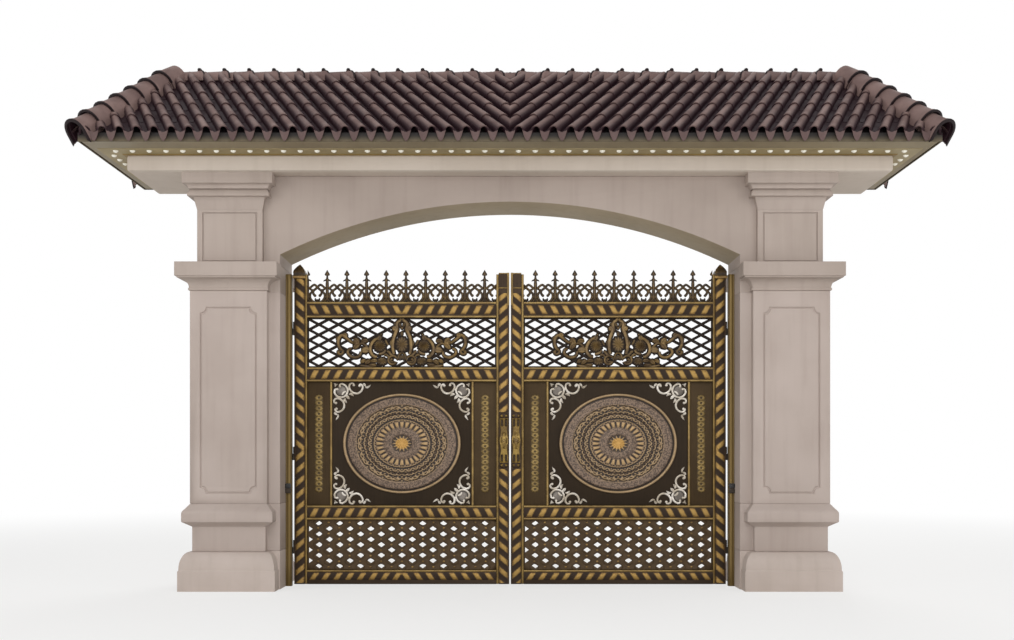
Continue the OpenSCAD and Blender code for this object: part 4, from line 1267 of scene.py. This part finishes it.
medallion_metal = Finish("medallion_metal", metallic=0.35)
wear = medallion_metal.noise(120.0, 2.0) * 0.35 + medallion_metal.noise(30.0) * 0.5
reach = (medallion_metal.mark("gilt") + wear - 0.45).rise(0.05, 0.6)
stipple = medallion_metal.noise(90.0)
gold = medallion_metal.mix(medallion_metal.noise(20.0), (168, 142, 106), (132, 108, 74))
mauve = medallion_metal.mix(stipple.rise(0.38, 0.62), (66, 51, 39), (118, 97, 79))
face = medallion_metal.mix(medallion_metal.mark("warm"), gold, mauve)
star = medallion_metal.mix(stipple, (194, 151, 79), (162, 121, 60))
face = medallion_metal.mix(medallion_metal.mark("star"), face, star)
medallion_metal.colour(reach, (38, 30, 25), face)
medallion_metal.set("Roughness", 0.5 - reach * 0.1)
medallion_metal.bump(stipple, 0.0014, 0.6)
on_leaves("medallion_face", skin, "antique_gold", medallion_metal, ["medallion"], bend=60, **marks)


# %% [markdown]
# ## Palmette
#
# The scrollwork over the upper lattice is drawn for one half, in millimetres from the middle of its foot,
# and mirrored. Stems are smooth paths with a half round section, leaves are widest in their middle and
# have a midrib, and the fans and the shell are fluted bosses. Each row of the drawing is a stem, a leaf or
# a knob, so a whole ornament is one table.

# %% Palmette
def fan(centre, halves, height, flutes):
    """A fluted boss: at share r and angle a it stands out by height * sqrt(1 - r * r) * (0.8 + 0.2 *
    cos(flutes * a)), and its edge is scalloped by a tenth."""
    a = round_turn(6 * flutes)
    share = np.array([1, 1, 0.95, 0.84, 0.66, 0.44, 0.24, 0.1])[:, None]
    wave = np.cos(flutes * a)
    out = height * np.sqrt(1 - share ** 2) * (0.8 + 0.2 * wave * np.minimum(1, share * 2))
    out[0] = -0.002
    edge = polar(share * (0.95 + 0.05 * wave), a)
    return tube(raised(metres(centre) + np.array(halves) * edge, out))


def stem(points, half, height, count=22, start=0.7, end=0.7):
    """A stem along a smooth path that is full in its middle and thinner at its ends."""
    share = np.linspace(0, 1, count)
    ends = start + (end - start) * share
    return strand(flow(points, count), half * (ends + (1 - ends) * np.sin(np.pi * share) ** 0.5), height)


def knob(centre, radius, height):
    """A round end."""
    return rosette(centre, radius, height, around=12)


def drawn(rows, wide, tall):
    """The shapes of a drawing. A row is a kind, its points, its half width as a share of wide, its height
    as a share of tall, and what else its kind takes."""
    return gather(*[kind(points, half * wide, tall * share, *more)
                    for kind, points, half, share, *more in rows])


PALM_H = 0.013
PALMETTE = (
    # the upright leaves beside the shell, and the crown over it
    (stem, "70,118 80,160 81,215 74,262 60,300 50,330 58,356 74,352 72,334", 0.013, 1, 28),
    (knob, "68,338", 0.013, 1),
    (stem, "46,312 40,345 46,378 40,404 18,418 6,436", 0.011, 0.9, 20),
    (sprig, "50,366 58,385 52,404", 0.011, 0.8),
    (sprig, "12,352 20,382 26,402", 0.009, 0.7),
    (sprig, "86,178 96,215 88,252", 0.010, 0.8),
    # the arch under the shell, the dark piece in it, and the spiral at its foot
    (stem, "0,128 16,124 28,108 34,86 46,64", 0.007, 0.8, 16),
    (sprig, "4,112 12,88 24,62", 0.012, 0.6),
    (strand, turned((0.083, 0.064), 0.040, 150, -160, 26, 0.034), 0.008, 0.9),
    (strand, turned((0.088, 0.068), 0.024, -150, 40, 14, 0.010), 0.0065, 0.8),
    (knob, "92,72", 0.010, 1),
    (stem, "84,104 104,122 118,138 132,144", 0.010, 0.8, 14),
    (stem, "118,92 130,108 146,116 160,104", 0.008, 0.8, 12),
    (knob, "112,136", 0.009, 1),
    # the tail of the big fan and the arm that holds it
    (sprig, "196,238 200,262 190,288", 0.020, 0.8),
    (knob, "184,294", 0.008, 0.7),
    (stem, "206,262 236,250 262,224 279,190 282,150 268,118 246,98 222,94", 0.012, 1, 26),
    (stem, "146,156 160,136 182,124 208,120", 0.010, 0.8, 14),
    (stem, "122,200 136,222 146,246", 0.008, 0.7, 10),
    # the leaves along the foot, beside the lower fan
    (sprig, "218,50 246,62 282,50", 0.015, 0.9),
    (sprig, "222,30 262,18 304,26", 0.014, 0.9),
    (sprig, "276,66 302,52 330,24", 0.016, 1),
    (sprig, "318,62 346,58 370,36", 0.014, 1),
    (knob, "346,52", 0.012, 0.8),
    (stem, "230,14 300,10 372,18", 0.009, 0.7, 12),
    # the leaf clusters further out
    (sprig, "286,146 322,156 366,142", 0.026, 0.9),
    (sprig, "300,232 332,238 366,226", 0.018, 0.9),
    (stem, "288,150 318,190 352,214 386,208", 0.008, 0.8, 14),
    (sprig, "372,214 404,196 430,160", 0.020, 1),
    (sprig, "384,198 404,236 430,262", 0.020, 1),
    (sprig, "392,222 418,226 446,214", 0.013, 1),
    (knob, "404,214", 0.015, 1),
    (stem, "366,142 372,112 396,92 432,90 462,104 482,130 474,158 450,168", 0.010, 1, 24),
    # the outer hook
    (stem, "436,218 462,236 486,254 506,272 530,288 552,276 566,244 566,204 552,172 536,154",
     0.011, 1, 30, 0.6, 0.9),
    (stem, "530,288 508,300 496,286 506,270", 0.009, 0.9, 12),
    (stem, "540,160 524,146 532,126 552,118 566,130 558,144", 0.009, 0.9, 16),
    (sprig, "546,150 566,140 574,116", 0.010, 0.8),
    (sprig, "552,282 574,262 580,232", 0.009, 0.8),
    (knob, "512,284", 0.010, 1))


def palmette(wide, tall, shell_halves, shell_height):
    """The whole palmette, with every half width times wide and every height a share of tall."""
    size = 0.6 + 0.4 * wide
    half = gather(drawn(PALMETTE, wide, tall), fan("197,194", (0.050 * size, 0.051 * size), tall, 16),
                  fan("177,56", (0.042 * size, 0.033 * size), tall * 0.9, 10))
    return gather(mirrored(half, 0), fan("0,206", shell_halves, shell_height, 12))


palm = gather(palmette(1.45, PALM_H, (0.060, 0.076), PALM_H * 1.05), knob("0,351", 0.017, PALM_H),
              sprig("0,276 0,302 0,330", 0.016, PALM_H * 0.8))
skin = stood(palm, lattice_high.y, (MID_X, lattice_low.z))
palmette_gilding = gilded("palmette_gilding", (38, 27, 16), (126, 101, 58), (84, 64, 36), 0.2, 1.0)
on_leaves("palmette_scrolls", skin, "antique_gold", palmette_gilding, ["palmette"],
          gilt=crest(skin, lattice_high.y, PALM_H) * 0.95)
# The backing is a low dark cast under the scrolls. It closes the gaps between them, and the dark edge it
# shows beside each strand is painted shade.
shadow_backing = stood(palmette(2.0, 0.003, (0.070, 0.086), 0.004), lattice_high.y, (MID_X, lattice_low.z))
on_leaves("palmette_shadow_backing", shadow_backing, "bronze", lattice_bronze)


# %% [markdown]
# ## Corner scrolls
#
# Four silver scrolls fill the corners of the panel. One is drawn from the corner inwards, along x and
# along z alike, so half of it is the other half with its two axes swapped.

# %% Corner scrolls
SCROLL_H = 0.0095
LACE_H = 0.0035
arm = drawn((
    (stem, "192,31 186,18 170,14 154,26 150,50 160,76 182,97 214,106 244,96 264,72 270,46 260,28 246,24 "
     "240,34", 0.0108, 1, 36, 0.85, 0.85),
    (knob, "190,31", 0.014, 1),
    (knob, "242,36", 0.014, 1),
    (sprig, "268,24 284,24 300,48", 0.013, 1),
    (sprig, "290,48 312,50 344,28", 0.011, 0.9),
    (sprig, "145,115 167,110 190,130", 0.014, 1),
    (stem, "138,78 148,62 146,46", 0.009, 0.8, 10),
    (sprig, "14,12 26,28 22,48", 0.010, 0.8)), 1, SCROLL_H)
ring_path = turned((0.076, 0.080), 0.060, -166, -475, 44)
ring_path[:4] = flow([(0.040, 0.066), (0.030, 0.066), (0.021, 0.074), ring_path[4]], 4)
ring_path[-4:] = ring_path[3::-1, ::-1]
own = drawn((
    (strand, ring_path, 0.0105, 1),
    (knob, "43,67", 0.013, 1),
    (knob, "67,43", 0.013, 1),
    (stem, "122,88 106,92 94,102 86,118", 0.011, 0.8, 14),
    (sprig, "114,116 134,136 154,156", 0.016, 1.05)), 1, SCROLL_H)
scroll = gather(arm, (arm[0][:, [1, 0, 2]], arm[1]), own)
lace = rosette("78,82", 0.050, LACE_H, petals=10, depth=0.1)


def in_corners(name, shape, height, finish, replaces=()):
    """A shape of one corner of the panel, set in all four."""
    placed = []
    for x, way_x in ((MULLIONS[0] + MULLION_HALF, 1), (MULLIONS[1] - MULLION_HALF, -1)):
        for z, way_z in ((panel_low.z, 1), (panel_high.z, -1)):
            placed.append(stood((shape[0] * (way_x, way_z, 1), shape[1]), PLATE_Y, (x, z)))
    skin = gather(*placed)
    on_leaves(name, skin, "pale_silver", finish, replaces, gilt=crest(skin, PLATE_Y, height))


silver_casting = gilded("silver_casting", (48, 41, 34), (220, 213, 203), (172, 160, 142), 0.15, 0.8, 0.3)
lace_metal = gilded("lace_metal", (52, 46, 38), (120, 112, 104), (86, 78, 70), 0.1, 0.9, 0.3)
in_corners("corner_castings", scroll, SCROLL_H, silver_casting, ["corner_scrolls"])
in_corners("corner_lace", lace, LACE_H, lace_metal)


# %% [markdown]
# ## Chain strips
#
# A narrow strip of eighteen flowers stands in each side panel. A flower is a boss with eight petals and
# a dark dimple, and the flowers overlap so that the strip reads as a chain.

# %% Chain strips
FLOWERS = 18
STRIP_HALF = 0.038
STRIP_MARGIN = 0.01
strip_low, strip_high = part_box("right_chain_strips")
STRIP_H = strip_high.y - PLATE_Y
chain_x = (strip_low.x + STRIP_HALF, strip_high.x - STRIP_HALF)
flower_pitch = (strip_high.z - strip_low.z - 2 * STRIP_MARGIN) / FLOWERS
flower_z = strip_low.z + STRIP_MARGIN + flower_pitch * (np.arange(FLOWERS) + 0.5)
radii = (STRIP_HALF * 1.06, flower_pitch * 0.62)
flowers = [rosette(grid(x, flower_z), radii, STRIP_H, 8, 0.2, hollow=1.0) for x in chain_x]
grounds = [strand(flow([(x, strip_low.z + 0.034), (x, strip_high.z - 0.034)], 40), STRIP_HALF * 0.9,
                  STRIP_H * 0.4) for x in chain_x]
skin = stood(gather(*flowers, *grounds), PLATE_Y)
aside = np.abs(np.abs(skin[0][:, 0] - np.mean(chain_x)) - (chain_x[1] - chain_x[0]) / 2)
upward = (skin[0][:, 2] - flower_z[0]) / flower_pitch
dimple = 1 - step_up(np.hypot(aside, (upward - np.round(upward)) * flower_pitch), 0.007, 0.013)
chain_gilding = gilded("chain_gilding", (50, 38, 20), (130, 107, 57), (100, 80, 37), 0.1, 0.8)
on_leaves("flower_chains", skin, "antique_gold", chain_gilding, ["chain_strips"],
          gilt=np.clip(0.30 + 0.6 * crest(skin, PLATE_Y, STRIP_H) - 0.4 * dimple, 0, 1))


# %% [markdown]
# ## Handles
#
# The pull is a fluted gold column with a round boss, between two dark ovals with a pair of pearls each.
# The column is a height map whose flutes run along it, and a bow stands out from it for the hand.

# %% Handle column
COLUMN_HALF = 0.196
BOSS_R = 0.020
PLATE_HALF = 0.034
PEARL_R = 0.0125
v = np.linspace(-1, 1, 61)[:, None]
t = np.array([0, 0.16, 0.33, 0.5, 0.66, 0.8, 0.94, 1])
t = np.concatenate([-t[:0:-1], t])
width = 0.0385 - 0.009 * np.sin(np.pi * np.minimum(1, np.abs(v) * 1.15)) ** 2
out = 0.006 + 0.007 * np.sqrt(1 - 0.9 * t ** 2) + 0.002 * np.cos(3 * np.pi * t)
flute = np.maximum(np.abs(np.abs(t) - 0.50) / 0.25, np.abs(np.abs(v) - 0.80) / 0.16)
out = np.where(flute < 1, 0.002, out)
plate = np.maximum(np.abs(v) * COLUMN_HALF / PLATE_HALF, np.abs(t) / 0.95)
out = np.where(plate < 1, np.where(plate > 0.72, 0.014, 0.008), out)
boss = np.hypot(v * COLUMN_HALF, t * width) / BOSS_R
out = np.where(boss < 1, 0.010 + 0.014 * stroke(boss, 1), out)
column = grid(t * width, v * COLUMN_HALF)
oval_z = (handle_high.z - handle_low.z) / 2 - 0.030
ovals = rosette([(0, oval_z), (0, -oval_z)], (0.041, 0.029), 0.010, around=28)
pearls = rosette([(x, z) for z in (oval_z, -oval_z) for x in (-0.020, 0.020)], PEARL_R, 0.018, around=12)
collars = [stem([(-0.036, way * 0.186), (0, way * 0.198), (0.036, way * 0.186)], 0.006, 0.015, 12)
           for way in (1, -1)]


# %% Handle bow
BOW_POINTS = 61
bow_out = handle_high.y - LEAF_Y - 0.0085
bow = flow([(-0.070, 0.004), (-0.068, 0.026), (-0.054, bow_out), (0, bow_out), (0.054, bow_out),
            (0.068, 0.026), (0.070, 0.004)], BOW_POINTS)
c, s = polar(1, round_turn(12)).T
along = np.gradient(bow, axis=0)
along /= np.linalg.norm(along, axis=1, keepdims=True)
share = np.linspace(-1, 1, BOW_POINTS)[:, None]
swells = 0.0018 * np.exp(-(share / 0.12) ** 2) + 0.0016 * np.exp(-((np.abs(share) - 1) / 0.15) ** 2)
half = 0.0056 + swells
wide = 1 + 2.0 * np.exp(-(share / 0.17) ** 4)
rings = grid(half * c * wide, bow[:, :1] + along[:, 1:] * half * s, bow[:, 1:] - along[:, :1] * half * s)


# %% Handle pieces
HANDLE_X = (handle_low.x + handle_high.x) / 2
shaft = slab(raised(column, out), raised(column, -0.001))
skin = stood(gather(shaft, *collars, tube(rings), pearls), LEAF_Y, (HANDLE_X, HANDLE_Z))
from_boss = np.hypot(skin[0][:, 0] - HANDLE_X, skin[0][:, 2] - HANDLE_Z)
lit = np.clip(crest(skin, LEAF_Y, 0.016) * 1.1, 0, 0.95) - 0.7 * band(from_boss, 0.009, 0.015, 0.002)
lit[-len(pearls[0]):] = 1.4
handle_gilding = gilded("handle_gilding", (50, 36, 16), (148, 121, 58), (104, 81, 36), 0.1, 0.9)
on_leaves("handle_columns", skin, "antique_gold", handle_gilding, ["handle"], gilt=lit)
on_leaves("handle_ovals", stood(ovals, LEAF_Y, (HANDLE_X, HANDLE_Z)), "bronze", dark_bronze)


# %% [markdown]
# ## Hinges, jamb channels and sensors
#
# The leaf hangs on barrel hinges behind its face, and closes against a brass channel on each jamb. A
# small two part block on each jamb faces the drive. The channel is one profile drawn up the wall.

# %% Hinges
hinge_steel = cast_bronze("hinge_steel", (74, 64, 54), (50, 43, 36), (1, 1, 0.2))
for side in ("left", "right"):
    dressed(f"{side}_hinge_straps", hinge_steel, 0.0015)
    dressed(f"{side}_hinge_pins", hinge_steel, 0.0015)


# %% Channels
jamb_brass = Finish("jamb_brass", metallic=0.6)
streaks = jamb_brass.noise(160.0, stretch=(1, 1, 0.01))
brass = jamb_brass.mix(streaks, (132, 110, 64), (104, 84, 44))
jamb_brass.colour(jamb_brass.mark("gilt"), (66, 50, 26), brass)
jamb_brass.set("Roughness", 0.42 + streaks * 0.2)
jamb_brass.bump(streaks, 0.0004)

channel_low, channel_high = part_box("right_jamb_channel")
# share of the width, share of the depth, and gilt
profile = np.array([(0, 0.6, 0.2), (0.04, 0.92, 0.5), (0.14, 1, 0.6), (0.17, 0.95, 0.35),
                    (0.30, 0.95, 0.55), (0.34, 1, 1), (0.66, 1, 1), (0.70, 0.95, 0.55),
                    (0.84, 0.95, 0.45), (0.88, 1, 0.5), (0.97, 1, 0.3), (1, 0.6, 0.2)])
across, depth, lit = np.concatenate([profile * (1, -1, 1), profile[::-1]]).T
outline = grid(channel_low.x + across * (channel_high.x - channel_low.x), depth * channel_high.y)
low, high = channel_low.z, channel_high.z
levels = np.array([low, low + 0.003, *np.linspace(0.2, 2.6, 9), high - 0.004, high])
shrink = np.array([0.94, *np.ones(len(levels) - 2), 0.94])[:, None, None]
centre = outline.mean(0)
channel = tube(raised(centre + (outline - centre) * shrink, levels[:, None]))
end = np.full(len(lit), lit.mean())
pair("channel_profile", channel, "portal", jamb_brass, ["jamb_channel"],
     {"gilt": np.concatenate([end, np.tile(lit, len(levels)), end])})


# %% Sensors
SENSOR_W = 0.05
EYE_Z = 0.024
sensor_low, sensor_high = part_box("sensor_blocks")
split_z = (sensor_low.z + sensor_high.z) / 2
block_x = (sensor_high.x - SENSOR_W, sensor_high.x)


def soft_block(y, z):
    """A block whose outline is |x| ** 6 + |z| ** 6 = 1 and whose face is a little crowned."""
    c, s = polar(1, round_turn(32)).T
    reach = (np.abs(c) ** 6 + np.abs(s) ** 6) ** (-1 / 6)
    low, high = np.transpose([block_x, y, z])
    mid, half = (low + high) / 2, (high - low) / 2
    share = np.array([0.96, 1, 1, 0.93, 0.6, 0.2])[:, None]
    depth = np.array([1, 0.92, -0.86, -0.96, -1, -1])[:, None]
    return tube(grid(mid[0] + half[0] * share * reach * c, mid[1] + depth * half[1],
                     mid[2] + half[2] * share * reach * s))


housing = Finish("housing", roughness=0.5)
grain = housing.noise(300.0, 2.0)
housing.colour(grain, (36, 34, 34), (26, 25, 25))
housing.bump(grain, 0.0003)
cap = soft_block((sensor_low.y, sensor_high.y), (split_z + 0.001, sensor_high.z))
bracket = soft_block((sensor_low.y + 0.002, sensor_high.y), (sensor_low.z, split_z))
eye = ball([(sum(block_x) / 2, sensor_low.y + 0.003, split_z + EYE_Z)], (0.010, 0.004, 0.010), 20, 8)
piece("sensor_caps", mirrored(gather(cap, eye), 0), "portal", housing, ["sensor_blocks"])
piece("sensor_brackets", mirrored(bracket, 0), "portal", hinge_steel)


# %% [markdown]
# ## Done
#
# The last cell finds the bounds of the finished model.

# %% Finish
low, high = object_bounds()
